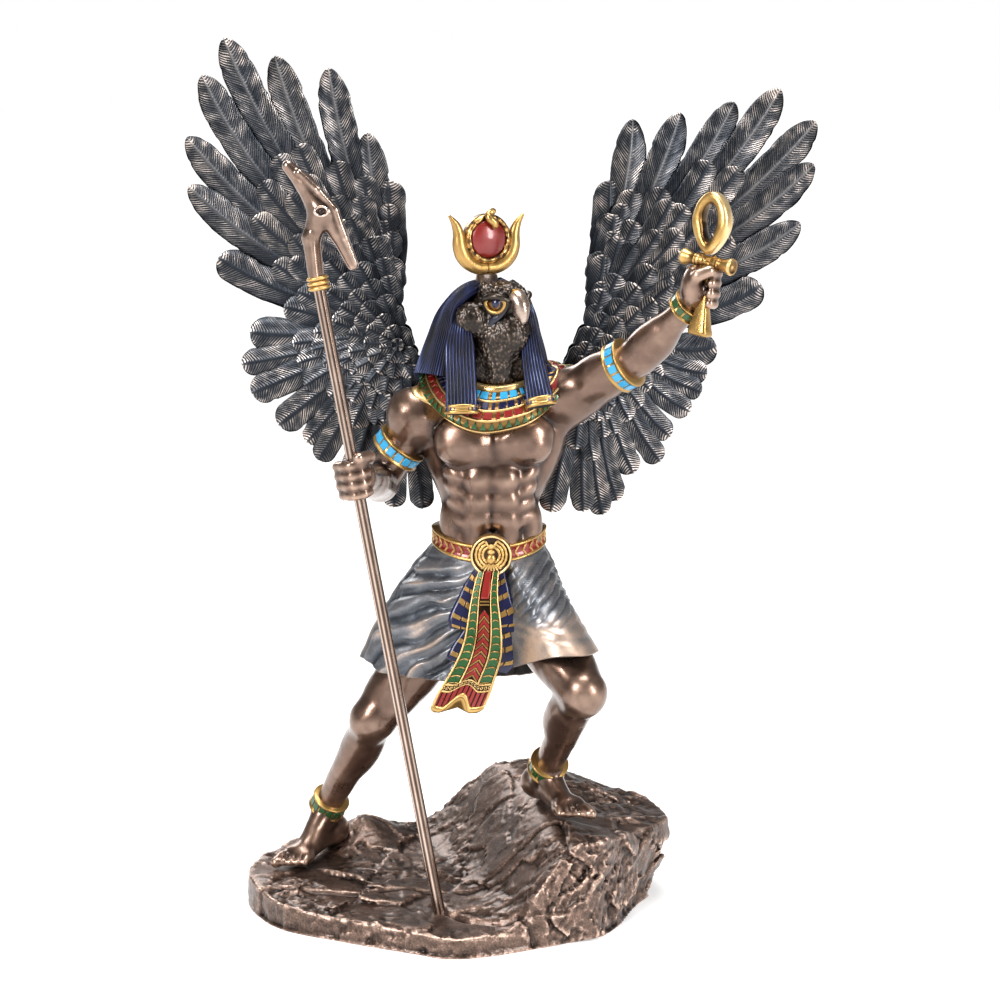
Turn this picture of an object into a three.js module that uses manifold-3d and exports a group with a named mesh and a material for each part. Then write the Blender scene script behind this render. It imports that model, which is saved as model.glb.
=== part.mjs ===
// Winged, falcon-headed Egyptian god on a rock: a cold-cast bronze figurine.
// Millimetres, +Z up. The origin is the middle of the rock's flat underside.
// The figure faces -Y. "Right" and "left" are the figure's own, so its right side is at -X.

import * as THREE from 'three';
import { mergeVertices } from 'three/addons/utils/BufferGeometryUtils.js';
import Module from 'manifold-3d';

const wasm = await Module();
wasm.setup();

// Driving dimensions
const SEAT_GAP = 0.3;
const ROD_RADIUS = 1.8;
const ROD_FOOT = [-5.6, -33, 3];
const ROD_TOP = [-40.9, -33, 200];
const FIST_HEIGHT = 141;
const FINGER_RADIUS = 1.75;
const FINGER_PITCH = 2.95;
const DISC_RADIUS = 7.5;
const DISC_MIDDLE = [7.9, -1, 209.5];
const CROWN_TURN = 25;
const MEDALLION = [9.3, -15.6, 114.6];
const MEDALLION_RADIUS = 6.3;
const COLLAR_THICK = 1.5;
const COLLAR_HEART = [11.2, 3, 150];
const BAND_THICK = 1.0;
const KILT_WALL = 1.6;
const KILT_RECESS = 1.4;
const FOLD_DEPTH = 1.5;
const ROCK_STEP = 8;
const ROCK_LOW = 10.8;
const ROCK_HIGH = 33.4;
const ROCK_OVERHANG = 8;
const OVERHANG_TOP = 24;
const SKIN_CELL = 1.35;
const BODY_FACES = 3000;
const WIG_FACES = 300;
const SCEPTRE_HEAD_FACES = 160;
const FIGURE_FACES = 5300;
const WING_FACES = 1450;

// Body landmarks
const PELVIS = [9.5, 1, 103];
const WAIST = [8.6, 0.5, 121];
const RIBS = [9.1, 1, 138];
const NECK = [12, 1, 158];
const SKULL = [11.2, -1.2, 189];
const HEAD_TURN = 40 * Math.PI / 180;
const RIGHT_ARM = { shoulder: [-13.5, 2, 154], elbow: [-25.5, 6, 133], wrist: [-29.5, -23, 140] };
const LEFT_ARM = { shoulder: [32, 1.5, 161], elbow: [53.5, -11.5, 174.5], wrist: [67.5, -23.5, 191] };
const ANKH_UP = [0.1, 0.04, 0.994];
const ANKH_ACROSS = [0.775, -0.61, -0.15];
const ANKH_BAR = [72.6, -28, 204.3];
const ANKH_STEM = 21.5;
const ANKH_GIRTH = 1.4;
const LEFT_GRIP = 7.6;
const RIGHT_LEG = { hip: [0.5, 1, 97], knee: [-27.5, -2, 60], ankle: [-44, 15.5, 25.5] };
const LEFT_LEG = { hip: [19, 0, 97], knee: [36.8, -30.5, 76], ankle: [26.5, -3, 43.5] };
const RIGHT_FOOT = { heel: [-42, 19, 17], ball: [-52, 2.5, 13.6], toes: [-55.5, -3.8, 12.6] };
const LEFT_FOOT = { heel: [23.4, 1.5, 38.2], ball: [33, -16.5, 35.6], toes: [36.3, -22.8, 34.6] };

// Small vector helpers on plain arrays
const add = (a, b) => [a[0] + b[0], a[1] + b[1], a[2] + b[2]];
const sub = (a, b) => [a[0] - b[0], a[1] - b[1], a[2] - b[2]];
const scale = (a, s) => [a[0] * s, a[1] * s, a[2] * s];
const dot = (a, b) => a[0] * b[0] + a[1] * b[1] + a[2] * b[2];
const cross = (a, b) => [a[1] * b[2] - a[2] * b[1], a[2] * b[0] - a[0] * b[2], a[0] * b[1] - a[1] * b[0]];
const size = (a) => Math.hypot(a[0], a[1], a[2]);
const unit = (a) => scale(a, 1 / size(a));
const mix = (a, b, t) => add(scale(a, 1 - t), scale(b, t));
const clamp = (v, low, high) => Math.min(high, Math.max(low, v));
const smooth = (v) => clamp(v, 0, 1) ** 2 * (3 - 2 * clamp(v, 0, 1));
const rodAt = (z) => mix(ROD_FOOT, ROD_TOP, (z - ROD_FOOT[2]) / (ROD_TOP[2] - ROD_FOOT[2]));

// Soft forms, as distances that are negative inside

// A tapered limb between two points
function limb(from, to, fromRadius, toRadius, blend = 2) {
  const axis = sub(to, from);
  const axisSquared = dot(axis, axis);
  return {
    centre: mix(from, to, 0.5),
    reach: size(axis) / 2 + Math.max(fromRadius, toRadius),
    blend,
    distance(p) {
      const v = sub(p, from);
      const t = clamp(dot(v, axis) / axisSquared, 0, 1);
      const gap = Math.hypot(v[0] - axis[0] * t, v[1] - axis[1] * t, v[2] - axis[2] * t);
      return gap - fromRadius - (toRadius - fromRadius) * t;
    },
  };
}

// An ellipsoid with half sizes along its own three axes
function pebble(centre, radii, blend = 2, along = [1, 0, 0], facing = [0, 1, 0]) {
  const first = unit(along);
  const third = unit(cross(first, facing));
  const second = cross(third, first);
  return {
    centre,
    reach: Math.max(...radii),
    blend,
    distance(p) {
      const v = sub(p, centre);
      const q = [dot(v, first), dot(v, second), dot(v, third)];
      const near = Math.hypot(q[0] / radii[0], q[1] / radii[1], q[2] / radii[2]);
      const far = Math.hypot(q[0] / radii[0] ** 2, q[1] / radii[1] ** 2, q[2] / radii[2] ** 2);
      return far < 1e-9 ? -Math.min(...radii) : near * (near - 1) / far;
    },
  };
}

// A muscle is a pebble stretched from one point to another
function muscle(from, to, width, depth, blend = 2, facing = [0, 1, 0]) {
  return pebble(mix(from, to, 0.5), [size(sub(to, from)) / 2, depth, width], blend, sub(to, from), facing);
}

function joinedDistance(forms, p) {
  let d = 1e3;
  for (const form of forms) {
    const next = form.distance(p);
    const k = form.blend;
    const h = Math.max(k - Math.abs(d - next), 0) / k;
    d = Math.min(d, next) - h * h * k / 4;
  }
  return d;
}

// Skin of the joined forms, by marching tetrahedra on a grid, as one closed mesh
const CUBE_TETS = [[0, 1, 3, 7], [0, 3, 2, 7], [0, 2, 6, 7], [0, 6, 4, 7], [0, 4, 5, 7], [0, 5, 1, 7]];

function skin(forms, cell) {
  const low = [1e9, 1e9, 1e9];
  const high = [-1e9, -1e9, -1e9];
  for (const form of forms) {
    for (let k = 0; k < 3; k++) {
      low[k] = Math.min(low[k], form.centre[k] - form.reach - 2 * cell);
      high[k] = Math.max(high[k], form.centre[k] + form.reach + 2 * cell);
    }
  }
  const block = 8;
  const counts = low.map((v, k) => Math.ceil((high[k] - v) / cell / block) * block);
  const [nx, ny, nz] = counts.map((n) => n + 1);
  const field = new Float32Array(nx * ny * nz).fill(50);
  const at = (i, j, k) => (k * ny + j) * nx + i;
  const place = (i, j, k) => [low[0] + i * cell, low[1] + j * cell, low[2] + k * cell];
  const blockReach = block * cell * Math.sqrt(3) / 2;
  const cubes = [];
  for (let bk = 0; bk < counts[2]; bk += block) {
    for (let bj = 0; bj < counts[1]; bj += block) {
      for (let bi = 0; bi < counts[0]; bi += block) {
        const middle = place(bi + block / 2, bj + block / 2, bk + block / 2);
        const near = forms.filter((f) => size(sub(f.centre, middle)) < f.reach + blockReach + 5);
        if (near.length === 0) continue;
        for (let k = bk; k <= bk + block; k++) {
          for (let j = bj; j <= bj + block; j++) {
            for (let i = bi; i <= bi + block; i++) {
              const d = joinedDistance(near, place(i, j, k));
              field[at(i, j, k)] = Math.abs(d) < 1e-4 ? 1e-4 : d;
              if (i < bi + block && j < bj + block && k < bk + block) cubes.push([i, j, k]);
            }
          }
        }
      }
    }
  }
  const points = [];
  const faces = [];
  const made = new Map();
  const crossing = (a, b) => {
    const key = a.index < b.index ? a.index * 2 ** 24 + b.index : b.index * 2 ** 24 + a.index;
    if (!made.has(key)) {
      made.set(key, points.length);
      points.push(mix(a.place, b.place, a.value / (a.value - b.value)));
    }
    return made.get(key);
  };
  const face = (a, b, c, inside) => {
    const normal = cross(sub(points[b], points[a]), sub(points[c], points[a]));
    const outward = sub(points[a], inside);
    faces.push(dot(normal, outward) >= 0 ? [a, b, c] : [a, c, b]);
  };
  for (const [i, j, k] of cubes) {
    const corners = [];
    let insideCount = 0;
    for (let n = 0; n < 8; n++) {
      const index = at(i + (n & 1), j + ((n >> 1) & 1), k + (n >> 2));
      corners.push(index);
      if (field[index] < 0) insideCount += 1;
    }
    if (insideCount === 0 || insideCount === 8) continue;
    const nodes = corners.map((index, n) => ({
      index, value: field[index], place: place(i + (n & 1), j + ((n >> 1) & 1), k + (n >> 2)),
    }));
    for (const tet of CUBE_TETS) {
      const inner = tet.filter((n) => nodes[n].value < 0).map((n) => nodes[n]);
      const outer = tet.filter((n) => nodes[n].value >= 0).map((n) => nodes[n]);
      if (inner.length === 0 || outer.length === 0) continue;
      const deep = inner.reduce((s, n) => add(s, scale(n.place, 1 / inner.length)), [0, 0, 0]);
      if (inner.length === 1) {
        face(...outer.map((o) => crossing(inner[0], o)), deep);
      } else if (outer.length === 1) {
        face(...inner.map((n) => crossing(n, outer[0])), deep);
      } else {
        const ring = [[0, 0], [0, 1], [1, 1], [1, 0]].map(([a, b]) => crossing(inner[a], outer[b]));
        face(ring[0], ring[1], ring[2], deep);
        face(ring[0], ring[2], ring[3], deep);
      }
    }
  }
  return { points, faces };
}

// Fewer faces on the same form: the edge whose collapse moves the surface least goes first
function thin({ points, faces }, wanted) {
  const quadrics = points.map(() => new Float64Array(10));
  const around = points.map(() => new Set());
  faces.forEach((f, index) => {
    const normal = cross(sub(points[f[1]], points[f[0]]), sub(points[f[2]], points[f[0]]));
    const area = size(normal);
    if (area > 1e-12) {
      const [a, b, c] = scale(normal, 1 / area);
      const d = -dot([a, b, c], points[f[0]]);
      const plane = [a * a, a * b, a * c, a * d, b * b, b * c, b * d, c * c, c * d, d * d];
      for (const v of f) plane.forEach((value, n) => { quadrics[v][n] += value * area; });
    }
    for (const v of f) around[v].add(index);
  });
  const stamp = new Int32Array(points.length);
  const heap = [];
  const push = (entry) => {
    let n = heap.length;
    heap.push(entry);
    while (n > 0 && heap[(n - 1) >> 1].cost > entry.cost) {
      heap[n] = heap[(n - 1) >> 1];
      n = (n - 1) >> 1;
    }
    heap[n] = entry;
  };
  const pop = () => {
    const top = heap[0];
    const last = heap.pop();
    if (heap.length === 0) return top;
    let n = 0;
    for (;;) {
      let child = 2 * n + 1;
      if (child >= heap.length) break;
      if (child + 1 < heap.length && heap[child + 1].cost < heap[child].cost) child += 1;
      if (heap[child].cost >= last.cost) break;
      heap[n] = heap[child];
      n = child;
    }
    heap[n] = last;
    return top;
  };
  const error = (q, [x, y, z]) => q[0] * x * x + 2 * q[1] * x * y + 2 * q[2] * x * z + 2 * q[3] * x
    + q[4] * y * y + 2 * q[5] * y * z + 2 * q[6] * y + q[7] * z * z + 2 * q[8] * z + q[9];
  const offer = (a, b) => {
    const q = quadrics[a].map((value, n) => value + quadrics[b][n]);
    const middle = mix(points[a], points[b], 0.5);
    const length = size(sub(points[a], points[b]));
    const rows = [[q[0], q[1], q[2]], [q[1], q[4], q[5]], [q[2], q[5], q[7]]];
    const determinant = dot(rows[0], cross(rows[1], rows[2]));
    const choices = [middle, points[a], points[b]];
    if (Math.abs(determinant) > 1e-6) {
      const right = [-q[3], -q[6], -q[8]];
      const best = [
        dot(right, cross(rows[1], rows[2])) / determinant,
        dot(rows[0], cross(right, rows[2])) / determinant,
        dot(rows[0], cross(rows[1], right)) / determinant,
      ];
      if (size(sub(best, middle)) < length) choices.push(best);
    }
    const ranked = choices.map((place) => [error(q, place), place]).sort((m, n) => m[0] - n[0]);
    const cost = ranked[0][0] + 1e-3 * length * length;
    push({ cost, a, b, stampA: stamp[a], stampB: stamp[b], places: ranked.map((pair) => pair[1]) });
  };
  const slenderness = (corners, normal) => {
    const longest = Math.max(...corners.map((p, n) => size(sub(p, corners[(n + 1) % 3]))));
    return size(normal) / (longest * longest);
  };
  const neighbours = (v) => {
    const result = new Set();
    for (const index of around[v]) for (const n of faces[index]) if (n !== v) result.add(n);
    return result;
  };
  const offerAll = () => points.forEach((_, v) => {
    for (const n of neighbours(v)) if (n > v) offer(v, n);
  });
  offerAll();
  let count = faces.length;
  let countLastRound = Infinity;
  while (count > wanted) {
    if (heap.length === 0) {
      if (count === countLastRound) break;
      countLastRound = count;
      offerAll();
    }
    const { a, b, stampA, stampB, places } = pop();
    if (stamp[a] !== stampA || stamp[b] !== stampB) continue;
    const shared = [...around[a]].filter((index) => around[b].has(index));
    const besideB = neighbours(b);
    const common = [...neighbours(a)].filter((n) => besideB.has(n));
    if (shared.length !== 2 || common.length !== 2) continue;
    const kept = [...around[a], ...around[b]].filter((index) => !shared.includes(index));
    const fits = (place) => kept.every((index) => {
      const before = faces[index].map((v) => points[v]);
      const after = faces[index].map((v) => (v === a || v === b ? place : points[v]));
      const n0 = cross(sub(before[1], before[0]), sub(before[2], before[0]));
      const n1 = cross(sub(after[1], after[0]), sub(after[2], after[0]));
      const [thinBefore, thinAfter] = [slenderness(before, n0), slenderness(after, n1)];
      if (thinAfter < 0.05 && thinAfter < thinBefore) return false;
      return thinBefore < 0.02 || dot(n0, n1) > 0.2 * size(n0) * size(n1);
    });
    const place = places.find(fits);
    if (place === undefined) continue;
    for (const index of shared) {
      for (const v of faces[index]) around[v].delete(index);
      faces[index] = null;
    }
    count -= 2;
    for (const index of around[b]) {
      faces[index] = faces[index].map((v) => (v === b ? a : v));
      around[a].add(index);
    }
    around[b] = new Set();
    points[a] = place;
    quadrics[a] = quadrics[a].map((value, n) => value + quadrics[b][n]);
    stamp[a] += 1;
    stamp[b] = -1;
    for (const n of neighbours(a)) offer(a, n);
  }
  const renumbered = new Map();
  const keptPoints = [];
  const keptFaces = faces.filter((f) => f !== null).map((f) => f.map((v) => {
    if (!renumbered.has(v)) {
      renumbered.set(v, keptPoints.length);
      keptPoints.push(points[v]);
    }
    return renumbered.get(v);
  }));
  return { points: keptPoints, faces: keptFaces };
}

// Solids for joining and cutting
function solidOf({ points, faces }) {
  const vertProperties = new Float32Array(points.flat());
  const triVerts = new Uint32Array(faces.flat());
  return new wasm.Manifold(new wasm.Mesh({ numProp: 3, vertProperties, triVerts }));
}

function solidOfGeometry(geometry) {
  geometry.deleteAttribute('normal');
  geometry.deleteAttribute('uv');
  const merged = mergeVertices(geometry, 1e-4);
  const positions = merged.attributes.position;
  const points = Array.from({ length: positions.count }, (_, n) => [
    positions.getX(n), positions.getY(n), positions.getZ(n),
  ]);
  const index = Array.from(merged.index.array);
  const faces = [];
  for (let n = 0; n < index.length; n += 3) {
    const f = index.slice(n, n + 3);
    if (new Set(f).size === 3) faces.push(f);
  }
  return solidOf({ points, faces });
}

function meshData(solid) {
  const { vertProperties, triVerts } = solid.getMesh();
  const points = [];
  for (let n = 0; n < vertProperties.length; n += 3) points.push(Array.from(vertProperties.slice(n, n + 3)));
  const faces = [];
  for (let n = 0; n < triVerts.length; n += 3) faces.push(Array.from(triVerts.slice(n, n + 3)));
  return { points, faces };
}

function joined(solids) {
  return solids.reduce((whole, next) => whole.add(next));
}

// A loft through rings of equal count, closed by a fan at each end or joined end to end
function loft(rings, closed = false) {
  const count = rings[0].length;
  const points = rings.flat();
  const faces = [];
  const spans = closed ? rings.length : rings.length - 1;
  for (let r = 0; r < spans; r++) {
    const a = r * count;
    const b = ((r + 1) % rings.length) * count;
    for (let n = 0; n < count; n++) {
      const m = (n + 1) % count;
      faces.push([a + n, a + m, b + m], [a + n, b + m, b + n]);
    }
  }
  if (!closed) {
    const middle = (ring) => scale(ring.reduce(add), 1 / count);
    const last = (rings.length - 1) * count;
    points.push(middle(rings[0]), middle(rings[rings.length - 1]));
    for (let n = 0; n < count; n++) {
      const m = (n + 1) % count;
      faces.push([points.length - 2, m, n], [points.length - 1, last + n, last + m]);
    }
  }
  let volume = 0;
  for (const [a, b, c] of faces) volume += dot(points[a], cross(points[b], points[c]));
  if (volume < 0) for (const f of faces) f.reverse();
  return solidOf({ points, faces });
}

// Two directions square to an axis, the first as near as can be to the hint
function sideways(axis, hint = [0, 1, 0]) {
  const along = unit(axis);
  const first = unit(sub(hint, scale(along, dot(hint, along))));
  return [first, cross(along, first)];
}

// A round bar along a path of points
function bar(path, radii, sides = 10, flatten = 1, hint = [0, 1, 0]) {
  return loft(path.map((point, n) => {
    const ahead = path[Math.min(n + 1, path.length - 1)];
    const behind = path[Math.max(n - 1, 0)];
    const [first, second] = sideways(sub(ahead, behind), hint);
    return Array.from({ length: sides }, (_, s) => {
      const turn = 2 * Math.PI * s / sides;
      const forward = scale(first, radii[n] * flatten * Math.cos(turn));
      return add(point, add(forward, scale(second, radii[n] * Math.sin(turn))));
    });
  }));
}

// A jewelled band round a limb: raised edges with a lower field between them
function band(centre, axis, radius, width, sides = 14) {
  const along = unit(axis);
  const [first, second] = sideways(axis);
  const section = [
    [-width / 2, radius + BAND_THICK], [-width / 3.4, radius + BAND_THICK * 0.5],
    [width / 3.4, radius + BAND_THICK * 0.5], [width / 2, radius + BAND_THICK],
    [width / 2, radius - 1.5], [-width / 2, radius - 1.5],
  ];
  return loft(Array.from({ length: sides }, (_, s) => {
    const turn = 2 * Math.PI * s / sides;
    const out = add(scale(first, Math.cos(turn)), scale(second, Math.sin(turn)));
    return section.map(([h, r]) => add(centre, add(scale(along, h), scale(out, r))));
  }), true);
}

// The bare body

function torsoForms() {
  const forms = [
    pebble(PELVIS, [16.5, 11, 13], 4),
    pebble(WAIST, [14.8, 10.2, 17], 4),
    pebble(RIBS, [17, 12, 17], 5),
    pebble([10.2, 2, 150], [20.2, 11, 10], 5),
    limb([-7, 3, 156], [28, 3, 161.5], 6.2, 6.6, 5),
    limb(NECK, [11.2, -0.5, 177], 8.2, 7.2, 5),
    limb([2, 7, 160], [9, 4, 168], 5, 4, 4),
    limb([22, 7, 162], [15, 4, 169], 5, 4, 4),
  ];
  for (const side of [-1, 1]) {
    const middle = 10.2;
    forms.push(
      muscle([middle + side * 20.5, 4, 157], [middle - 1 + side * 12.6, 3, 131], 7, 5, 3, [side, 0, 0]),
      pebble([middle + side * 8.8, -7.6, 148.2 + side * 0.5], [9.8, 5.4, 7.6], 1.6, [1, 0, side * 0.24]),
      muscle([middle - 1 + side * 12.6, -4.4, 129], [middle - 1 + side * 11.6, -2.4, 112], 3.8, 4.4, 2.2),
      muscle([middle + side * 7, 12, 158], [middle + side * 6, 9.5, 118], 5, 3, 3),
    );
    for (let row = 0; row < 3; row++) {
      const z = 136.8 - row * 6.2;
      forms.push(pebble([middle - 0.6 + side * 4.2, -9.3 + row * 0.2, z], [4.2, 2.8, 3.3], 1.2));
      const rib = [middle + side * (15.2 - row * 0.8), -5.6, 138 - row * 4.2];
      forms.push(muscle(rib, add(rib, [-side * 5, -3.6, -3.2]), 1.7, 1.6, 1.2));
    }
  }
  return forms;
}

function headForms() {
  const ahead = [Math.sin(HEAD_TURN), -Math.cos(HEAD_TURN), 0];
  const across = [Math.cos(HEAD_TURN), Math.sin(HEAD_TURN), 0];
  const on = (forward, side, up) => (
    [scale(ahead, forward), scale(across, side), [0, 0, up]].reduce(add, SKULL));
  const forms = [
    limb([12, -1, 160], [11.6, -2.4, 182], 7.4, 7.8, 3),
    pebble(SKULL, [9, 7.6, 8], 3, ahead, across),
    pebble([6.6, -2.4, 185.6], [7.2, 6.4, 6.8], 3),
    limb(on(6.5, 0, 3.4), on(10.4, 0, 2.4), 4, 3.2, 2),
    limb(on(10.4, 0, 2.4), on(13.4, 0, -1), 3, 2.3, 0.8),
    limb(on(13.4, 0, -1), on(14, 0, -5.6), 2.2, 0.9, 0.5),
    limb(on(6.5, 0, -3), on(10.6, 0, -4.4), 2.8, 1.3, 1.2),
  ];
  for (const side of [-1, 1]) {
    forms.push(pebble(on(4.8, side * 5.9, 1.8), [3.2, 1.7, 2.6], 0.8, ahead, across));
    forms.push(limb(on(1, side * 6.4, 4.8), on(8.4, side * 4, 4.4), 1.5, 1.1, 1));
  }
  return forms;
}

// Fingers curl round a bar that passes through the fist. The turns are degrees about the bar.
function fistForms(middle, axis, palm, firstTurn, lastTurn, barRadius, thumb) {
  const along = unit(axis);
  const [side, back] = sideways(axis, [1, 0, 0]);
  const round = (turn, radius, lift) => add(middle, add(scale(along, lift), add(
    scale(side, radius * Math.cos(turn * Math.PI / 180)),
    scale(back, radius * Math.sin(turn * Math.PI / 180)),
  )));
  const toPalm = sub(round(palm, 1, 0), middle);
  const forms = [pebble(round(palm, 3.6, 0), [3.6, 5.2, 6.4], 2, toPalm, cross(along, toPalm))];
  for (let finger = 0; finger < 4; finger++) {
    const lift = (1.5 - finger) * FINGER_PITCH;
    const girth = FINGER_RADIUS * (finger === 3 ? 0.88 : 1);
    const stops = 4;
    for (let n = 0; n < stops; n++) {
      const from = firstTurn + (lastTurn - firstTurn) * n / stops;
      const to = firstTurn + (lastTurn - firstTurn) * (n + 1) / stops;
      const radius = barRadius + girth * 1.05;
      const bulge = n === 0 ? 1.2 : 0;
      forms.push(limb(round(from, radius + bulge, lift), round(to, radius, lift), girth, girth * 0.95, 0.5));
    }
  }
  for (let n = 0; n < thumb.length - 1; n++) {
    const [from, to] = [thumb[n], thumb[n + 1]].map(([turn, radius, lift]) => round(turn, radius, lift));
    forms.push(limb(from, to, FINGER_RADIUS * 1.12, FINGER_RADIUS, 0.7));
  }
  return forms;
}

function armForms() {
  const right = RIGHT_ARM;
  const left = LEFT_ARM;
  const rodAxis = sub(ROD_TOP, ROD_FOOT);
  const rightFist = rodAt(FIST_HEIGHT);
  const leftFist = sub(ANKH_BAR, scale(unit(ANKH_UP), LEFT_GRIP));
  // Each thumb as steps of degrees about the bar, distance from it, and lift along it
  const rightThumb = [[60, 4.6, 2.5], [10, 5.2, 5.6], [-60, 4.4, 6.4]];
  const leftThumb = [[205, 4.6, 0], [235, 4.8, 3.4], [275, 4.2, 5]];
  return [
    pebble([-14.2, 1.5, 154.8], [9.4, 8.8, 8.6], 3, [0.5, 0, -0.86]),
    limb(right.shoulder, right.elbow, 6.6, 5.2, 2.5),
    muscle(mix(right.shoulder, right.elbow, 0.1), mix(right.shoulder, right.elbow, 0.95), 4.6, 6.8, 2),
    limb(right.elbow, right.wrist, 5.4, 3.6, 2),
    muscle(mix(right.elbow, right.wrist, -0.1), mix(right.elbow, right.wrist, 0.75), 5.6, 4.8, 2, [0, 0, 1]),
    limb(right.wrist, add(rightFist, [1, 5.5, 0]), 3.6, 4.4, 2),
    ...fistForms(rightFist, rodAxis, 85, 175, 345, ROD_RADIUS, rightThumb),
    pebble([30.5, 1.5, 161.5], [9.2, 8.8, 8.2], 3, [0.8, -0.3, 0.5]),
    limb(left.shoulder, left.elbow, 7.2, 5.6, 3),
    muscle(mix(left.shoulder, left.elbow, 0.05), mix(left.shoulder, left.elbow, 0.95), 7.4, 5.4, 2),
    muscle([25, 5, 150], [46, -3, 166], 5, 4.6, 3),
    limb(left.elbow, left.wrist, 5.5, 3.7, 2),
    muscle(mix(left.elbow, left.wrist, -0.15), mix(left.elbow, left.wrist, 0.7), 6.2, 5.2, 2),
    limb(left.wrist, add(leftFist, [-2.6, 1.6, -1]), 3.7, 4, 2),
    ...fistForms(leftFist, ANKH_UP, 165, 115, -60, ANKH_GIRTH, leftThumb),
  ];
}

function footForms(foot, ankle, inward) {
  const ahead = unit(sub(foot.ball, foot.heel));
  const across = unit(cross(ahead, [0, 0, inward]));
  const forms = [
    pebble(foot.heel, [5.2, 4.4, 4.8], 2, ahead, across),
    limb(foot.heel, foot.ball, 3.9, 3.0, 2.5),
    limb(ankle, mix(foot.ball, foot.heel, 0.15), 4.2, 2.8, 3),
    limb(add(foot.ball, scale(across, 3)), add(foot.ball, scale(across, -3.2)), 2.7, 2.2, 2.5),
    pebble(add(ankle, add(scale(across, 3.6), [0, 0, -1.5])), [1.9, 1.9, 2.1], 1.2),
    pebble(add(ankle, add(scale(across, -3.4), [0, 0, -2.5])), [1.9, 1.9, 2.1], 1.2),
  ];
  for (let toe = 0; toe < 5; toe++) {
    const offset = 3.8 - toe * 1.95;
    const reach = 1 - 0.13 * toe;
    const girth = toe === 0 ? 1.65 : 1.2;
    const root = add(foot.ball, scale(across, offset));
    const tip = add(add(foot.ball, scale(sub(foot.toes, foot.ball), reach)), scale(across, offset * 1.12));
    const knuckle = add(mix(root, tip, 0.55), [0, 0, 0.7]);
    forms.push(limb(root, knuckle, girth, girth, 0.7), limb(knuckle, tip, girth, girth * 1.05, 0.5));
  }
  return forms;
}

function legForms({ hip, knee, ankle }, foot, inward) {
  const shin = sub(ankle, knee);
  const toHip = sub(hip, knee);
  const back = unit(sub(toHip, scale(unit(shin), dot(toHip, unit(shin)))));
  const thighBack = unit(sub(scale(shin, -1), scale(unit(toHip), -dot(shin, unit(toHip)))));
  const across = unit(cross(toHip, shin));
  const beside = (point, side, out) => add(point, add(scale(across, side), scale(thighBack, out)));
  const calf = mix(knee, ankle, 0.33);
  const forms = [
    limb(hip, knee, 11, 7, 4),
    muscle(mix(hip, knee, 0.15), mix(hip, knee, 0.95), 8.6, 8, 3),
    pebble(add(knee, scale(back, -2.4)), [5.6, 4.6, 5.6], 2.5, shin, back),
    limb(knee, ankle, 6, 4.2, 3),
    muscle(mix(knee, ankle, 0.05), mix(knee, ankle, 0.8), 3, 5, 2, back),
    ...footForms(foot, ankle, inward),
  ];
  for (const side of [-1, 1]) {
    const upper = beside(mix(knee, hip, 0.42), side * 4.2, 2.2);
    const lower = beside(mix(knee, hip, 0.02), side * 3.4, 2);
    forms.push(muscle(upper, lower, 3.9, 3.9, 2));
    const belly = add(add(calf, scale(back, 2.8)), scale(across, side * 2.2));
    forms.push(pebble(belly, [12.5, 4.8, 4.4], 2.5, shin, back));
  }
  return forms;
}

const bodyForms = [
  ...torsoForms(),
  ...legForms(RIGHT_LEG, RIGHT_FOOT, 1),
  ...legForms(LEFT_LEG, LEFT_FOOT, -1),
  ...armForms(),
  ...headForms(),
];
const bareBody = solidOf(thin(skin(bodyForms, SKIN_CELL), BODY_FACES));

// Where a ray from inside the chest leaves the body
function bodySurface(from, direction, farthest = 60) {
  for (let t = farthest; t > 2; t -= 0.25) {
    if (joinedDistance(bodyForms, add(from, scale(direction, t))) < 0) return t;
  }
  return 2;
}

// The broad collar lies on the chest, the shoulders and the back. Its rim and its throat
// are degrees above the level of the heart, from which it is measured.
const COLLAR_RIM = { back: 42, drop: 36, farShoulder: 7, nearShoulder: -4 };
const COLLAR_THROAT = 68;
const COLLAR_REACH = 27;

function collar() {
  const steps = 30;
  const rings = [];
  for (let n = 0; n < steps; n++) {
    const turn = 2 * Math.PI * n / steps;
    const front = (1 - Math.sin(turn)) / 2;
    const aside = Math.cos(turn);
    const shoulder = aside > 0 ? COLLAR_RIM.farShoulder : COLLAR_RIM.nearShoulder;
    const edge = COLLAR_RIM.back - COLLAR_RIM.drop * front ** 1.6 + shoulder * Math.abs(aside);
    const lifts = [0, 0.4, 0.75, 1].map((share) => edge + (COLLAR_THROAT - edge) * share);
    const outer = lifts.map((lift) => {
      const rise = lift * Math.PI / 180;
      const direction = [Math.cos(turn) * Math.cos(rise), Math.sin(turn) * Math.cos(rise), Math.sin(rise)];
      const far = Math.min(bodySurface(COLLAR_HEART, direction), COLLAR_REACH);
      return { direction, far };
    });
    const above = outer.map(({ direction, far }) => add(COLLAR_HEART, scale(direction, far + COLLAR_THICK)));
    const below = outer.map(({ direction, far }) => add(COLLAR_HEART, scale(direction, far - 2)));
    rings.push([...above, ...below.reverse()]);
  }
  return loft(rings, true);
}

// The wig: a cap, a fall behind the shoulders and two fluted front locks
function wigForms() {
  return [
    pebble([7.8, 4.6, 187.4], [10.6, 8.6, 9], 3, [0.8, 0.3, 0]),
    limb([0.5, 4, 190], [-9.6, 6, 168], 5.4, 5, 4),
    limb([17, 4, 188], [25.5, 4, 170], 6, 5.4, 4),
    limb([9.5, 9, 188], [8.5, 13, 162], 7, 6, 5),
    limb([3, 8, 184], [-3, 11, 161], 6, 5, 5),
    limb([16, 8, 184], [20, 11, 163], 6, 5, 5),
    limb([-1, 1, 186], [-2.5, -6.5, 175], 4, 4, 4),
    limb([18.5, 1, 186], [22.5, -6.5, 176], 3.6, 3.6, 4),
  ];
}

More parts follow.
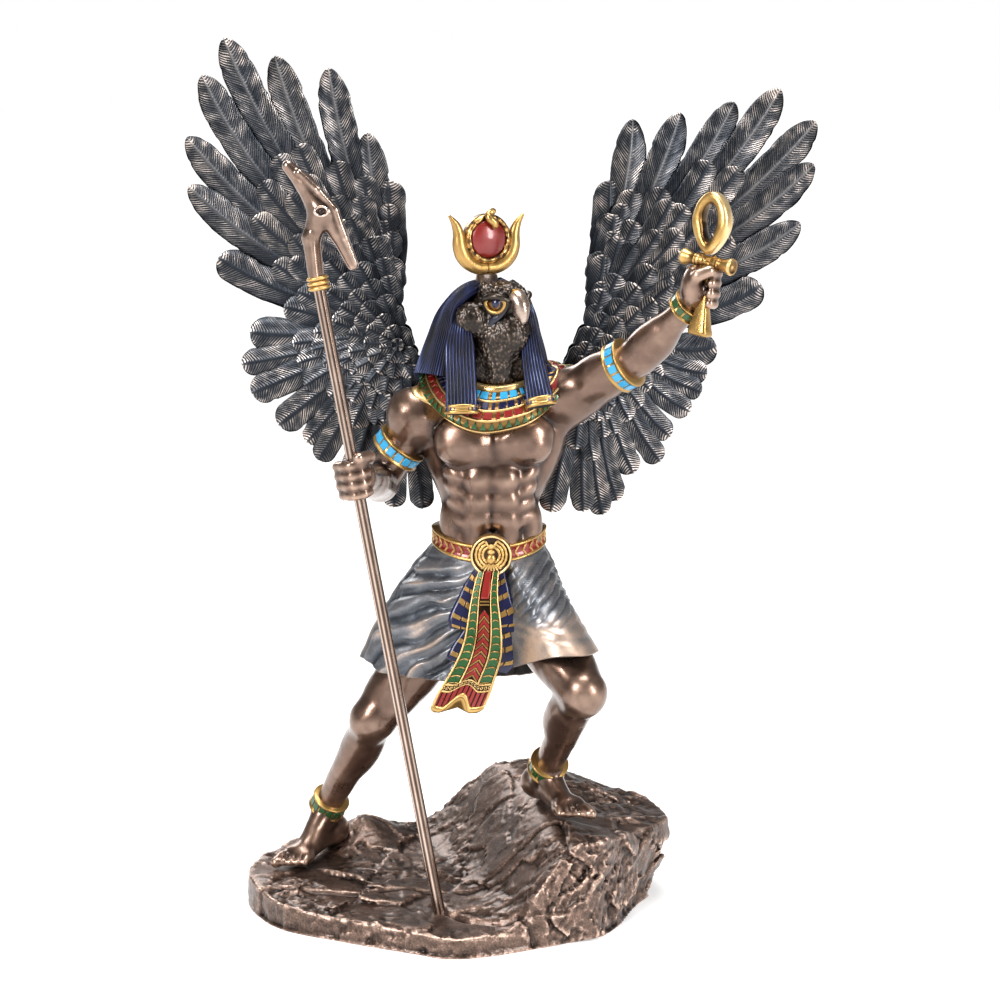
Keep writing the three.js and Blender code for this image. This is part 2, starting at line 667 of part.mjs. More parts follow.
function lock(path, widths, thick) {
  const flutes = 4;
  const rings = path.map((point, n) => {
    const ahead = path[Math.min(n + 1, path.length - 1)];
    const behind = path[Math.max(n - 1, 0)];
    const [first] = sideways(sub(ahead, behind), [0, -1, 0]);
    const side = unit(cross(first, sub(ahead, behind)));
    const front = Array.from({ length: flutes * 2 + 1 }, (_, s) => {
      const across = s / flutes - 1;
      const groove = s % 2 === 0 ? 0 : 0.45;
      const bow = thick * Math.sqrt(1 - 0.75 * across * across);
      return add(point, add(scale(side, across * widths[n] / 2), scale(first, bow + groove - 0.2)));
    });
    const back = [0.8, 0, -0.8].map((across) => (
      add(point, add(scale(side, across * widths[n] / 2), scale(first, -thick)))));
    return [...front, ...back];
  });
  return loft(rings);
}

function wig() {
  const cap = solidOf(thin(skin(wigForms(), SKIN_CELL), WIG_FACES));
  const rightPath = [[-0.4, -7, 184], [0, -11.6, 175], [0.3, -14.6, 166.5], [0.5, -16.2, 158.6]];
  const leftPath = [[21.6, -2, 181], [22.4, -8.6, 175], [23.4, -13, 168], [24.2, -15.2, 160.8]];
  const rightLock = lock(rightPath, [7.5, 9, 9.6, 9.6], 2.2);
  const leftLock = lock(leftPath, [5, 6.5, 8, 8.8], 2.2);
  const rightEnd = bar([[0.4, -15.8, 160.4], [0.5, -16.5, 157.6]], [5.2, 5.2], 10, 0.6);
  const leftEnd = bar([[24.1, -15, 162.4], [24.3, -15.6, 159.6]], [4.8, 4.8], 10, 0.6);
  return joined([cap, rightLock, leftLock, rightEnd, leftEnd]);
}

// Horned crown with the sun disc and the rearing snake above it
function crown() {
  const [x, y] = DISC_MIDDLE;
  const stand = new THREE.LatheGeometry([
    [0, 193], [4.2, 193], [4.4, 195.6], [3.4, 199], [0, 200],
  ].map(([r, z]) => new THREE.Vector2(r, z)), 12);
  stand.rotateX(Math.PI / 2);
  stand.translate(x, y, 0);
  const rim = DISC_RADIUS;
  const discProfile = [[0, -1.6], [rim, -1.4], [rim, 1.7], [rim - 1.5, 1.9], [rim - 1.8, 1.3], [0, 3]];
  const disc = new THREE.LatheGeometry(discProfile.map(([r, h]) => new THREE.Vector2(r, h)), 18);
  disc.rotateX(Math.PI);
  disc.translate(...DISC_MIDDLE);
  // Each horn as steps of distance aside, height below the disc's middle, and girth
  const hornSteps = [
    [0.8, -8.9, 2], [3.2, -8.7, 2.2], [6, -7.2, 2.3], [8, -4.8, 2.3],
    [9, -1.9, 2.1], [9.3, 1.3, 1.7], [10.3, 4.3, 1.2], [12.3, 7.1, 0.6],
  ];
  const horn = (side) => bar(
    hornSteps.map(([aside, up]) => add(DISC_MIDDLE, [side * aside, 0, up])),
    hornSteps.map((step) => step[2]), 6, 1, [0, 1, 0],
  );
  const snake = bar([[x + 0.5, y - 3, 213], [x + 0.3, y - 3.2, 216], [x, y - 2, 217.6], [x + 0.4, y - 3, 219]],
    [1, 1.4, 1.3, 0.7], 6);
  return joined([solidOfGeometry(stand), solidOfGeometry(disc), horn(-1), horn(1), snake])
    .translate([-x, -y, 0]).rotate([0, 0, CROWN_TURN]).translate([x, y, 0]);
}

// Belt, medallion, kilt and sash
const BELT = { middle: [8.6, 0.4], across: 16.7, deep: 12.4, height: 5.2, back: 120, dip: 5.4 };

function beltPoint(turn, out, lift) {
  const front = Math.max(0, -Math.sin(turn));
  const z = BELT.back - BELT.dip * front ** 1.6 + lift - 1.5 * Math.abs(Math.cos(turn));
  return [
    BELT.middle[0] + (BELT.across + out) * Math.cos(turn),
    BELT.middle[1] + (BELT.deep + out) * Math.sin(turn),
    z,
  ];
}

function belt() {
  const steps = 26;
  const half = BELT.height / 2;
  const field = half * 0.55;
  const section = [[-2.5, -half], [0.9, -half], [0.5, -field], [0.5, field], [0.9, half], [-2.5, half]];
  return loft(Array.from({ length: steps }, (_, n) => (
    section.map(([out, lift]) => beltPoint(2 * Math.PI * n / steps, out, lift)))), true);
}

function medallion() {
  const r = MEDALLION_RADIUS;
  const profile = [[0, -3], [r, -3], [r, 1.2], [r - 1.4, 0.7], [r * 0.4, 0.8], [0, 1.9]];
  const plate = new THREE.LatheGeometry(profile.map(([a, b]) => new THREE.Vector2(a, b)), 18);
  plate.rotateX(Math.PI);
  return solidOfGeometry(plate).translate(MEDALLION);
}

// The kilt's hem runs round both thighs: low behind, lifted over the forward knee
const HEM = [
  [3, -20, 77.5], [15, -21.5, 81], [27, -34.5, 87.4], [38, -34, 88], [42, -22, 86.5],
  [37.5, -6, 80], [25, 11, 72], [8, 16.5, 69], [-13, 14.5, 72], [-27, 8, 78],
  [-31, -2, 80], [-25, -11, 77.5], [-10, -17.5, 76.5],
];

function kilt() {
  const hem = new THREE.CatmullRomCurve3(HEM.map((p) => new THREE.Vector3(...p)), true, 'centripetal');
  const steps = 56;
  const levels = 5;
  const surface = (n, t, inset) => {
    const end = hem.getPointAt(n / steps);
    const hemPoint = [end.x, end.y, end.z];
    const turn = Math.atan2(hemPoint[1] + 3, (hemPoint[0] - 6) * 0.5);
    const start = beltPoint(turn, -0.4, -1.5);
    const flat = unit([hemPoint[0] - 7, (hemPoint[1] + 2) * 1.5, 0]);
    const swell = 2.2 * Math.sin(Math.PI * t) + foldDepth(mix(start, hemPoint, t), turn, t);
    return add(mix(start, hemPoint, t), scale(flat, swell - inset));
  };
  const ring = (t, inset, lift) => (
    Array.from({ length: steps }, (_, n) => add(surface(n, t, inset), [0, 0, lift])));
  const outside = Array.from({ length: levels + 1 }, (_, level) => ring(level / levels, 0, 0));
  return loft([...outside, ring(1, KILT_WALL, 0), ring(0.86, KILT_WALL + 0.8, KILT_RECESS)]);
}

// Folds fan out from the medallion in front and hang straight behind
function foldDepth(p, turn, t) {
  const fan = Math.atan2(MEDALLION[0] - p[0], MEDALLION[2] + 3 - p[2]);
  const front = smooth(0.5 - Math.sin(turn) * 1.2);
  const wide = Math.sin(fan * (p[0] < MEDALLION[0] ? 17 : 26));
  const straight = Math.sin(turn * 15);
  const depth = p[0] < MEDALLION[0] ? FOLD_DEPTH : FOLD_DEPTH * 0.7;
  return (wide * depth * front + straight * FOLD_DEPTH * 0.7 * (1 - front)) * smooth(t * 3);
}

// Flat cloth strips that hang from the medallion, as rings of a thin section
function strip(path, widths, thick, ribs) {
  return loft(path.map((point, n) => {
    const ahead = path[Math.min(n + 1, path.length - 1)];
    const behind = path[Math.max(n - 1, 0)];
    const [out] = sideways(sub(ahead, behind), [0, -1, 0]);
    const side = unit(cross(out, sub(ahead, behind)));
    const front = Array.from({ length: ribs * 2 + 1 }, (_, s) => {
      const across = s / ribs - 1;
      const raised = s % 2 === 0 ? thick : thick * 0.55;
      return add(point, add(scale(side, across * widths[n] / 2), scale(out, raised)));
    });
    const back = [1, -1].map((across) => (
      add(point, add(scale(side, across * widths[n] / 2), scale(out, -thick)))));
    return [...front, ...back];
  }));
}

function sash() {
  const main = strip(
    [
      [8.7, -15.5, 110], [7.6, -18.4, 100], [7.1, -20.2, 92],
      [5.6, -22, 84], [3, -23.6, 77], [-0.4, -25.4, 70.4],
    ],
    [6, 9, 10.2, 11.4, 13.4, 16.5], 1.0, 3,
  );
  const under = strip(
    [[8.8, -14.4, 109.5], [8.2, -16.6, 101], [7.2, -18.2, 94], [6.9, -19.2, 87], [6, -19.8, 81.5]],
    [11, 17, 22, 21.5, 17], 0.9, 6,
  );
  return joined([under, main]);
}

function bands() {
  const along = (limbEnds, t) => mix(limbEnds[0], limbEnds[1], t);
  const rightArm = [RIGHT_ARM.shoulder, RIGHT_ARM.elbow];
  const leftArm = [LEFT_ARM.shoulder, LEFT_ARM.elbow];
  const leftForearm = [LEFT_ARM.elbow, LEFT_ARM.wrist];
  return joined([
    band(add(along(rightArm, 0.44), [-0.6, 0, 0]), [0.62, -0.2, 0.76], 7.1, 4.8),
    band(along(leftArm, 0.8), sub(...leftArm), 6.9, 5),
    band(along(leftForearm, 0.98), sub(...leftForearm), 4.4, 3.8, 12),
    band(mix(RIGHT_LEG.knee, RIGHT_LEG.ankle, 0.95), sub(RIGHT_LEG.knee, RIGHT_LEG.ankle), 5, 5),
    band(mix(LEFT_LEG.knee, LEFT_LEG.ankle, 0.95), sub(LEFT_LEG.knee, LEFT_LEG.ankle), 5, 5),
  ]);
}

// The ankh in the left fist: a loop, a flared cross bar and a stem
function ankh() {
  const up = unit(ANKH_UP);
  const across = unit(ANKH_ACROSS);
  const outward = unit(cross(up, across));
  const loopSteps = 14;
  const loopMiddle = add(ANKH_BAR, scale(up, 11.2));
  const loop = loft(Array.from({ length: loopSteps }, (_, n) => {
    const turn = 2 * Math.PI * n / loopSteps;
    const taper = 1 - 0.35 * Math.max(0, -Math.sin(turn));
    const out = add(scale(across, Math.cos(turn) * taper), scale(up, Math.sin(turn) * 1.66));
    const point = add(loopMiddle, scale(out, 4.4));
    const radial = unit(out);
    return Array.from({ length: 6 }, (_, s) => {
      const around = 2 * Math.PI * s / 6;
      return add(point, add(scale(radial, 1.8 * Math.cos(around)), scale(outward, 2.1 * Math.sin(around))));
    });
  }), true);
  const arm = (side) => bar(
    [0, 3.5, 8, 8.8].map((d) => add(ANKH_BAR, scale(across, side * d))), [1.6, 1.5, 2.4, 2.1], 8,
  );
  // The stem starts above the bar, inside the foot of the loop
  const stemPath = [-0.2, 0.1, 0.4, 0.92, 1].map((t) => add(ANKH_BAR, scale(up, -ANKH_STEM * t)));
  const stem = bar(stemPath, [1.6, 1.6, ANKH_GIRTH, 2.9, 2.6], 8, 1, ANKH_ACROSS);
  return joined([loop, arm(-1), arm(1), stem]);
}

// Wings: rows of feathers that fan out from a middle, each row shorter and further forward
const RIGHT_TIPS = [
  [-22.5, 226],
  [-29.5, 240.7], [-41.7, 260.7], [-58.8, 264.5], [-75.2, 270.1], [-82.4, 258.6], [-87.7, 239.2],
  [-87.3, 223.8], [-77.8, 201.4], [-67.9, 177.7], [-70.7, 167.5], [-67.5, 158.3], [-58.8, 148.3],
  [-49.7, 143.1], [-45.9, 137.5], [-35.8, 131.4], [-27.5, 126.9], [-21.7, 123.3], [-12.4, 123.3],
];
const LEFT_TIPS = [
  [46.5, 226],
  [53.6, 244.9], [68.8, 246.9], [86, 250.2], [100.8, 254.4], [112.6, 244.2], [112.2, 230.7],
  [108, 212.2], [95.4, 192.9], [81, 173.8], [78.1, 164.9], [76.4, 159.2], [72.7, 152.9],
  [66.3, 145.1], [63.1, 137.2], [54.4, 133.7], [49.3, 125.2], [44.6, 120.9], [38.4, 122.1], [28, 122.3],
];
const WINGS = {
  wing_right: { tips: RIGHT_TIPS, middle: [-21, 179], root: [-5.5, 152], shoulder: [-20, 218] },
  wing_left: { tips: LEFT_TIPS, middle: [41, 182], root: [27, 153], shoulder: [44.5, 216] },
};
// Shares of the reach where the two shorter rows of feathers end
const COVERT_REACH = 0.66;
const SCALE_REACH = 0.42;
const ROW_STEP = 1.7;
const GAP_REACH = 0.8;

// The wings sweep back as they leave the spine
const wingDepth = (x, z) => 15 + 0.22 * Math.abs(x - 10) + 0.06 * (z - 160);

// One closed profile from the wing's middle out along a line and back behind it.
// The quarter says where in a feather the line lies: 0 in the gap, 2 on the quill.
function wingProfile(middle, full, quarter, reach) {
  const at = (share, front) => {
    const x = middle[0] + (full[0] - middle[0]) * share;
    const z = middle[1] + (full[1] - middle[1]) * share;
    return [x, wingDepth(x, z) - front, z];
  };
  const onQuill = [-0.5, 0.2, 0.6, 0.2][quarter];
  const overGap = [0.06, 0.03, -0.05, 0.03][quarter];
  const covert = COVERT_REACH + overGap;
  const small = SCALE_REACH - overGap;
  const front = [
    at(0.05, ROW_STEP * 2.4),
    at(small - 0.02, ROW_STEP * 2 - onQuill * 0.6),
    at(small, ROW_STEP - onQuill * 0.5 + 0.4),
    at(covert - 0.02, ROW_STEP - onQuill * 0.8 + 0.6),
    at(covert, onQuill * 0.6 + 0.7),
    at(reach, 0.5 + onQuill * 0.2),
  ];
  return [...front, at(reach, -0.5), at(covert, -1.1 - onQuill * 0.3), at(0.05, -2)];
}

function wing({ tips, middle, root, shoulder }) {
  const profiles = [];
  const point = (n, t) => {
    const next = tips[Math.min(n + 1, tips.length - 1)];
    return [0, 1].map((k) => tips[n][k] * (1 - t) + next[k] * t);
  };
  tips.forEach((tip, n) => {
    const sides = n === 0 ? [2, 3] : n === tips.length - 1 ? [1, 2] : [1, 2, 3];
    for (const quarter of sides) {
      const shift = (quarter - 2) * 0.27;
      const full = shift < 0 ? point(n - 1, 1 + shift) : point(n, shift);
      profiles.push(wingProfile(middle, full, quarter, quarter === 2 ? 1 : 0.93));
    }
    if (n < tips.length - 1) {
      const lengths = [tips[n], tips[n + 1]].map((p) => Math.hypot(p[0] - middle[0], p[1] - middle[1]));
      const between = (lengths[0] + lengths[1]) / 2;
      const gap = GAP_REACH * Math.min(...lengths) / between + 0.1 * smooth((80 - between) / 30);
      profiles.push(wingProfile(middle, point(n, 0.5), 0, gap));
    }
  });
  const onSheet = (x, z, off) => [x, wingDepth(x, z) + off, z];
  const armPath = [root, [(root[0] + middle[0]) / 2, (root[1] + middle[1]) / 2], middle, shoulder]
    .map(([x, z], n) => onSheet(x, z, n === 0 ? -3 : -2.5));
  const arm = bar(armPath, [6, 6, 5, 1.5], 8, 0.5);
  return solidOf(thin(meshData(loft(profiles).add(arm)), WING_FACES));
}

// The sceptre: a plain rod with a slender animal's head, canted forward
function sceptreHeadForms() {
  const y = ROD_TOP[1];
  return [
    limb([-41, y, 198], [-43, y, 206], 3, 2.9, 2),
    limb([-43, y, 206], [-40.5, y, 215], 2.9, 3.4, 2),
    muscle([-50.6, y, 234.2], [-28.4, y, 201.2], 3.8, 3, 1.5),
    limb([-49.2, y, 231.6], [-41, y, 221.5], 1.5, 3.4, 1.5),
    limb([-38, y, 216], [-29.4, y, 203], 3.4, 1.7, 1.5),
  ];
}

function sceptre() {
  const axis = sub(ROD_TOP, ROD_FOOT);
  const ring = (z) => band(rodAt(z), axis, ROD_RADIUS, 1.6, 10);
  const rod = bar([ROD_FOOT, rodAt(198.5)], [ROD_RADIUS, ROD_RADIUS], 10);
  const head = solidOf(thin(skin(sceptreHeadForms(), 1), SCEPTRE_HEAD_FACES));
  return joined([rod, ring(196.4), ring(199.4), head]);
}

// The rock: outline of the underside, seen from above, from its left round the front
const ROCK_OUTLINE = [
  [-69, -4], [-58, -27], [-37, -39.5], [-13, -50.5], [-3, -54.5], [11, -51.5], [33, -41], [46, -33],
  [57, -14], [68, 7], [63, 26], [44, 39], [14, 44], [-20, 42], [-48, 33], [-65, 16],
];

function waver(x, y, z) {
  return Math.sin(x * 0.31 + Math.sin(y * 0.23) * 2) * Math.cos(y * 0.27 - z * 0.3) * 0.6
    + Math.sin(x * 0.73 + y * 0.51 + z * 0.4) * 0.4;
}

function rockTop(x, y) {
  const ramp = smooth((x + 0.34 * y + 4) / 31);
  const low = ROCK_LOW + 0.055 * y;
  const high = ROCK_HIGH - 0.2 * Math.max(0, x - 25);
  const hump = 7 * Math.exp(-((x + 33) ** 2 + (y - 27) ** 2) / 90);
  const crest = 2.4 * Math.exp(-((x - 19) ** 2 + (y - 33) ** 2) / 160);
  return low + (high - low) * ramp + hump + crest;
}

function rock() {
  const outline = new THREE.CatmullRomCurve3(
    ROCK_OUTLINE.map(([x, y]) => new THREE.Vector3(x, y, 0)), true, 'catmullrom', 0.35,
  );
  const steps = 40;
  const wall = (z) => Array.from({ length: steps }, (_, n) => {
    const { x, y } = outline.getPoint(n / steps);
    const aside = (Math.atan2(y, x) - 0.25) / 0.5;
    const under = ROCK_OVERHANG * Math.exp(-aside * aside) * (1 - smooth(z / OVERHANG_TOP));
    const uneven = z > 0 ? 1.9 * waver(x * 1.9, y * 1.9, z * 2) : 0;
    const inset = z * 0.1 + uneven + under + (z > 9 ? 1.5 : 0);
    return scale([x, y, 0], 1 - inset / Math.hypot(x, y)).with(2, z);
  });
  const block = loft([0, 4, 8, 10, 15, 20, 26, 31, 50].map(wall));
  const rows = [];
  for (let x = -77; x <= 77; x += ROCK_STEP) {
    const row = [];
    for (let y = -63; y <= 56; y += ROCK_STEP) row.push([x, y, rockTop(x, y) + waver(x, y, 0) * 0.8]);
    rows.push([...row, [x, row.at(-1)[1], -3], [x, row[0][1], -3]]);
  }
  return block.intersect(loft(rows));
}

// Assembly
const rockSolid = rock();
const sceptreSolid = sceptre();
const looseRadius = ROD_RADIUS + SEAT_GAP;
const rodHole = bar([ROD_FOOT, ROD_TOP], [looseRadius, looseRadius], 12);
const rodSleeve = bar([sub(ROD_FOOT, [0, 0, SEAT_GAP]), rodAt(60)], [looseRadius, looseRadius], 12);

const casting = outerShell(meshData(joined([
  bareBody, collar(), wig(), crown(), belt(), medallion(), kilt(), sash(), bands(), ankh(),
])));
const figureSolid = solidOf(thin(casting, FIGURE_FACES))
  .subtract(rodHole)
  .subtract(rockSolid.translate([0, 0, SEAT_GAP]));

const figureClearance = [
  [0.25, 0.3, 0], [-0.25, 0.3, 0], [0, 0.3, 0.25], [0, 0.3, -0.25],
].map((shift) => figureSolid.translate(shift));

const MATERIALS = {
  rock_base: { color: 0x6e5545, roughness: 0.5, metalness: 0.7 },
  figure: { color: 0x8a6248, roughness: 0.3, metalness: 0.8 },
  wing_right: { color: 0x4b4f55, roughness: 0.4, metalness: 0.8 },
  wing_left: { color: 0x4b4f55, roughness: 0.4, metalness: 0.8 },
  sceptre: { color: 0x9b745e, roughness: 0.3, metalness: 0.85 },
};

// The outer shell alone: pockets that joined pieces enclose are filled
function outerShell({ points, faces }) {
  const parent = points.map((_, n) => n);
  const rootOf = (v) => {
    let root = v;
    while (parent[root] !== root) root = parent[root];
    parent[v] = root;
    return root;
  };
  for (const [a, b, c] of faces) {
    parent[rootOf(b)] = rootOf(a);
    parent[rootOf(c)] = rootOf(a);
  }
  const volumes = new Map();
  for (const f of faces) {
    const [a, b, c] = f.map((v) => points[v]);
    volumes.set(rootOf(f[0]), (volumes.get(rootOf(f[0])) ?? 0) + dot(a, cross(b, c)));
  }
  const largest = [...volumes].reduce((best, next) => (next[1] > best[1] ? next : best))[0];
  const kept = faces.filter((f) => rootOf(f[0]) === largest);
  const renumbered = new Map([...new Set(kept.flat())].map((v, n) => [v, n]));
  return {
    points: [...renumbered.keys()].map((v) => points[v]),
    faces: kept.map((f) => f.map((v) => renumbered.get(v))),
  };
}

function meshOf(name, solid) {
  const { points, faces } = outerShell(meshData(solid));
  const geometry = new THREE.BufferGeometry();
  geometry.setAttribute('position', new THREE.BufferAttribute(new Float32Array(points.flat()), 3));
  geometry.setIndex(new THREE.BufferAttribute(new Uint32Array(faces.flat()), 1));
  geometry.computeVertexNormals();
  const mesh = new THREE.Mesh(geometry, new THREE.MeshStandardMaterial(MATERIALS[name]));
  mesh.name = name;
  return mesh;
}

const group = new THREE.Group();
group.name = 'ra_figurine';
group.add(meshOf('rock_base', rockSolid.subtract(rodSleeve)));
group.add(meshOf('figure', figureSolid));
for (const [name, layout] of Object.entries(WINGS)) {
  const cut = figureClearance.reduce((solid, body) => solid.subtract(body), wing(layout));
  group.add(meshOf(name, cut));
}
group.add(meshOf('sceptre', sceptreSolid));

export default group;
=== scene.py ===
"""Looks for the winged falcon-headed figurine. Shapes are worked out in millimetres."""

import math

import bmesh
import bpy
import numpy as np
import openvdb
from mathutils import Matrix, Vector
from mathutils.bvhtree import BVHTree


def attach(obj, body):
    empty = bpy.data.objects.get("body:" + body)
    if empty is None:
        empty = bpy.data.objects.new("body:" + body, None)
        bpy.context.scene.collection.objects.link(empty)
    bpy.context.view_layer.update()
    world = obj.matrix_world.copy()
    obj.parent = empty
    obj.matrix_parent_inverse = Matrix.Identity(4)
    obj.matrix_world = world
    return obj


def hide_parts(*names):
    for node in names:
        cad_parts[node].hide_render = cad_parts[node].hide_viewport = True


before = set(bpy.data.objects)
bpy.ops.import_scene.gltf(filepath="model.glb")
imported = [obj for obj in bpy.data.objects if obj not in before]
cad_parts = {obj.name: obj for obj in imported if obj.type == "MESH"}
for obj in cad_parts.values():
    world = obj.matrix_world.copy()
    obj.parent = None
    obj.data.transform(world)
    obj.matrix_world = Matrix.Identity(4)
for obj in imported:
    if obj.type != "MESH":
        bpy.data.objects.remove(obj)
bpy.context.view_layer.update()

MM = 0.001
TAU = 2 * math.pi
FAR = 20.0
# In cells, further than any scattered point can be
BEYOND_CELLS = 9.0

# Driving dimensions, shared with the solids
ROD_RADIUS = 1.8
ROD_FOOT = np.array([-5.6, -33, 3])
ROD_TOP = np.array([-40.9, -33, 200])
FIST_HEIGHT = 141
FINGER_RADIUS = 1.75
FINGER_PITCH = 2.95
SKULL = np.array([11.2, -1.2, 189])
HEAD_TURN = math.radians(40)
RIGHT_ARM = {"shoulder": (-13.5, 2, 154), "elbow": (-25.5, 6, 133), "wrist": (-29.5, -23, 140)}
LEFT_ARM = {"shoulder": (32, 1.5, 161), "elbow": (53.5, -11.5, 174.5), "wrist": (67.5, -23.5, 191)}
RIGHT_LEG = {"hip": (0.5, 1, 97), "knee": (-27.5, -2, 60), "ankle": (-44, 15.5, 25.5)}
LEFT_LEG = {"hip": (19, 0, 97), "knee": (36.8, -30.5, 76), "ankle": (26.5, -3, 43.5)}
RIGHT_FOOT = {"heel": (-42, 19, 17), "ball": (-52, 2.5, 13.6), "toes": (-55.5, -3.8, 12.6)}
LEFT_FOOT = {"heel": (23.4, 1.5, 38.2), "ball": (33, -16.5, 35.6), "toes": (36.3, -22.8, 34.6)}
ANKH_UP = (0.1, 0.04, 0.994)
ANKH_ACROSS = (0.775, -0.61, -0.15)
ANKH_BAR = np.array([72.6, -28, 204.3])
ANKH_STEM = 21.5
LEFT_GRIP = 7.6
MEDALLION = np.array([9.3, -15.6, 114.6])
DISC_MIDDLE = np.array([7.9, -1, 209.5])
CROWN_TURN = math.radians(25)
COLLAR_HEART = np.array([11.2, 3, 150])

# Only the looks have these
NAVEL = np.array([9.8, -10.4, 120.6])
# The top edge of a raised tile: how deep it is, and the share of the tile that it takes
TILE_SHOULDER = 0.08
TILE_ROUNDING = 0.12


# Small vector helpers

def vec(v):
    return np.asarray(v, float)


def size(v):
    return np.sqrt((vec(v) ** 2).sum(-1))


def unit(v):
    v = vec(v)
    return v / np.maximum(size(v), 1e-9)[..., None]


def mix(a, b, t):
    return vec(a) * (1 - t) + vec(b) * t


def smooth(v):
    v = np.clip(v, 0, 1)
    return v * v * (3 - 2 * v)


def rod_at(z):
    return mix(ROD_FOOT, ROD_TOP, (z - ROD_FOOT[2]) / (ROD_TOP[2] - ROD_FOOT[2]))


def heading_of(v):
    """The direction of a flat vector in degrees"""
    return math.degrees(math.atan2(v[1], v[0]))


def sideways(axis, hint=(0, 1, 0)):
    """Two directions square to an axis, the first as near as can be to the hint"""
    along = unit(axis)
    first = unit(hint - along * (along * vec(hint)).sum(-1)[..., None])
    return first, np.cross(along, first)


def circle(count):
    """Evenly spaced angles, once round"""
    return np.arange(count) / count * TAU


def squared(turn, power):
    """Sine and cosine drawn out into the corners, as two widths of a rounded square"""
    wide, deep = np.cos(turn), np.sin(turn)
    return np.sign(wide) * np.abs(wide) ** power, np.sign(deep) * np.abs(deep) ** power


def mirrored(section):
    """A section from its lower edge to its upper edge, when the upper half is given from the edge in"""
    return [(-v, height) for v, height in section] + section[::-1]


def box_of(low_u, high_u, low_v, high_v):
    return [(low_u, low_v), (high_u, low_v), (high_u, high_v), (low_u, high_v)]


def turned(rings, turn, middle, first=(1, 0, 0), second=(0, 0, 1), along=(0, 1, 0)):
    """Rings about an axis through the middle. Each one is a radius, and how far along the axis it lies."""
    spoke = vec(first) * np.cos(turn)[:, None] + vec(second) * np.sin(turn)[:, None]
    return np.stack([vec(middle) + spoke * radius + vec(along) * step for radius, step in rings])


def through(points, count):
    """A smooth line of count points through the given ones"""
    p = vec(points)
    p = np.vstack([2 * p[0] - p[1], p, 2 * p[-1] - p[-2]])
    t = np.linspace(0, len(p) - 3 - 1e-9, count)
    n = t.astype(int)
    t = (t - n)[:, None]
    a, b, c, d = p[n], p[n + 1], p[n + 2], p[n + 3]
    square = (2 * a - 5 * b + 4 * c - d) * t ** 2
    cube = (3 * b - a - 3 * c + d) * t ** 3
    return 0.5 * (2 * b + (c - a) * t + square + cube)


def around(points, count):
    """A smooth closed line of count evenly spaced points through the given ones"""
    p = vec(points)
    p = np.vstack([p[-1], p, p[0], p[1]])
    line = through(p, 40 * len(p))
    keep = slice(40 * len(p) // (len(p) - 1), -40 * len(p) // (len(p) - 1))
    line = line[keep]
    line = np.vstack([line, line[:1]])
    run = np.concatenate([[0], np.cumsum(size(np.diff(line, axis=0)))])
    at = np.linspace(0, run[-1], count, endpoint=False)
    return np.stack([np.interp(at, run, line[:, k]) for k in range(line.shape[1])], -1)


# Noise

def hashed(cell, seed):
    h = cell[..., 0] * 73856093 ^ cell[..., 1] * 19349663 ^ cell[..., 2] * 83492791 ^ (seed + 7) * 2654435
    h = (h ^ (h >> 13)) * 1274126177 & 0x7FFFFFFF
    return ((h ^ (h >> 16)) & 0xFFFF) / 65535


def grain(p, pitch, seed):
    """Smooth noise from -1 to 1 with bumps about a pitch wide"""
    q = vec(p) / pitch
    base = np.floor(q).astype(np.int64)
    t = q - base
    t = t * t * (3 - 2 * t)
    total = 0
    for corner in range(8):
        step = np.array([corner & 1, corner >> 1 & 1, corner >> 2])
        total = total + np.prod(np.where(step, t, 1 - t), -1) * hashed(base + step, seed)
    return total * 2 - 1


def rough(p, pitch, seed, layers):
    """Noise in layers, each with bumps half as wide and half as high as the last"""
    return sum(grain(p, pitch / 2 ** n, seed + n) / 2 ** n for n in range(layers))


def scattered(q, seed):
    """The 27 cells round each place, with the way to it from the point scattered in each cell"""
    base = np.floor(q).astype(np.int64)
    for n in range(27):
        cell = base + np.array([n % 3, n // 3 % 3, n // 9]) - 1
        yield cell, q - cell - np.stack([hashed(cell, seed + k) for k in range(3)], -1)


def spot_distance(p, pitch, seed):
    """Distance to the nearest scattered point"""
    q = vec(p) / pitch
    nearest = np.full(q.shape[:-1], BEYOND_CELLS)
    for _, away in scattered(q, seed):
        nearest = np.minimum(nearest, size(away))
    return nearest * pitch


def facets(p, pitch, seed, tilt):
    """Broken planes: each scattered cell leans its own way, with sharp steps between them"""
    q = vec(p) / pitch
    nearest = np.full(q.shape[:-1], BEYOND_CELLS)
    height = np.zeros(q.shape[:-1])
    for cell, away in scattered(q, seed):
        lean = np.stack([hashed(cell, seed + 5 + k) for k in range(3)], -1) * 2 - 1
        d = size(away)
        height = np.where(d < nearest, (away * lean).sum(-1), height)
        nearest = np.minimum(nearest, d)
    return height * pitch * tilt


# Soft forms, as distances that are negative inside

class Form:
    def __init__(self, centre, reach, blend, distance):
        self.centre, self.reach, self.blend, self.distance = vec(centre), reach, blend, distance


def limb(start, end, start_radius, end_radius, blend=2):
    start, axis = vec(start), vec(end) - vec(start)

    def distance(p):
        v = p - start
        t = np.clip(v @ axis / (axis @ axis), 0, 1)
        return size(v - t[..., None] * axis) - start_radius - (end_radius - start_radius) * t
    return Form(start + axis / 2, size(axis) / 2 + max(start_radius, end_radius), blend, distance)


def pebble(centre, radii, blend=2, along=(1, 0, 0), facing=(0, 1, 0)):
    first = unit(along)
    third = unit(np.cross(first, facing))
    axes = np.array([first, np.cross(third, first), third]).T
    radii = vec(radii)

    def distance(p):
        q = (p - vec(centre)) @ axes
        near = size(q / radii)
        return near * (near - 1) / np.maximum(size(q / radii ** 2), 1e-6)
    return Form(centre, radii.max(), blend, distance)


def muscle(start, end, width, depth, blend=2, facing=(0, 1, 0)):
    axis = vec(end) - vec(start)
    return pebble(mix(start, end, 0.5), [size(axis) / 2, depth, width], blend, axis, facing)


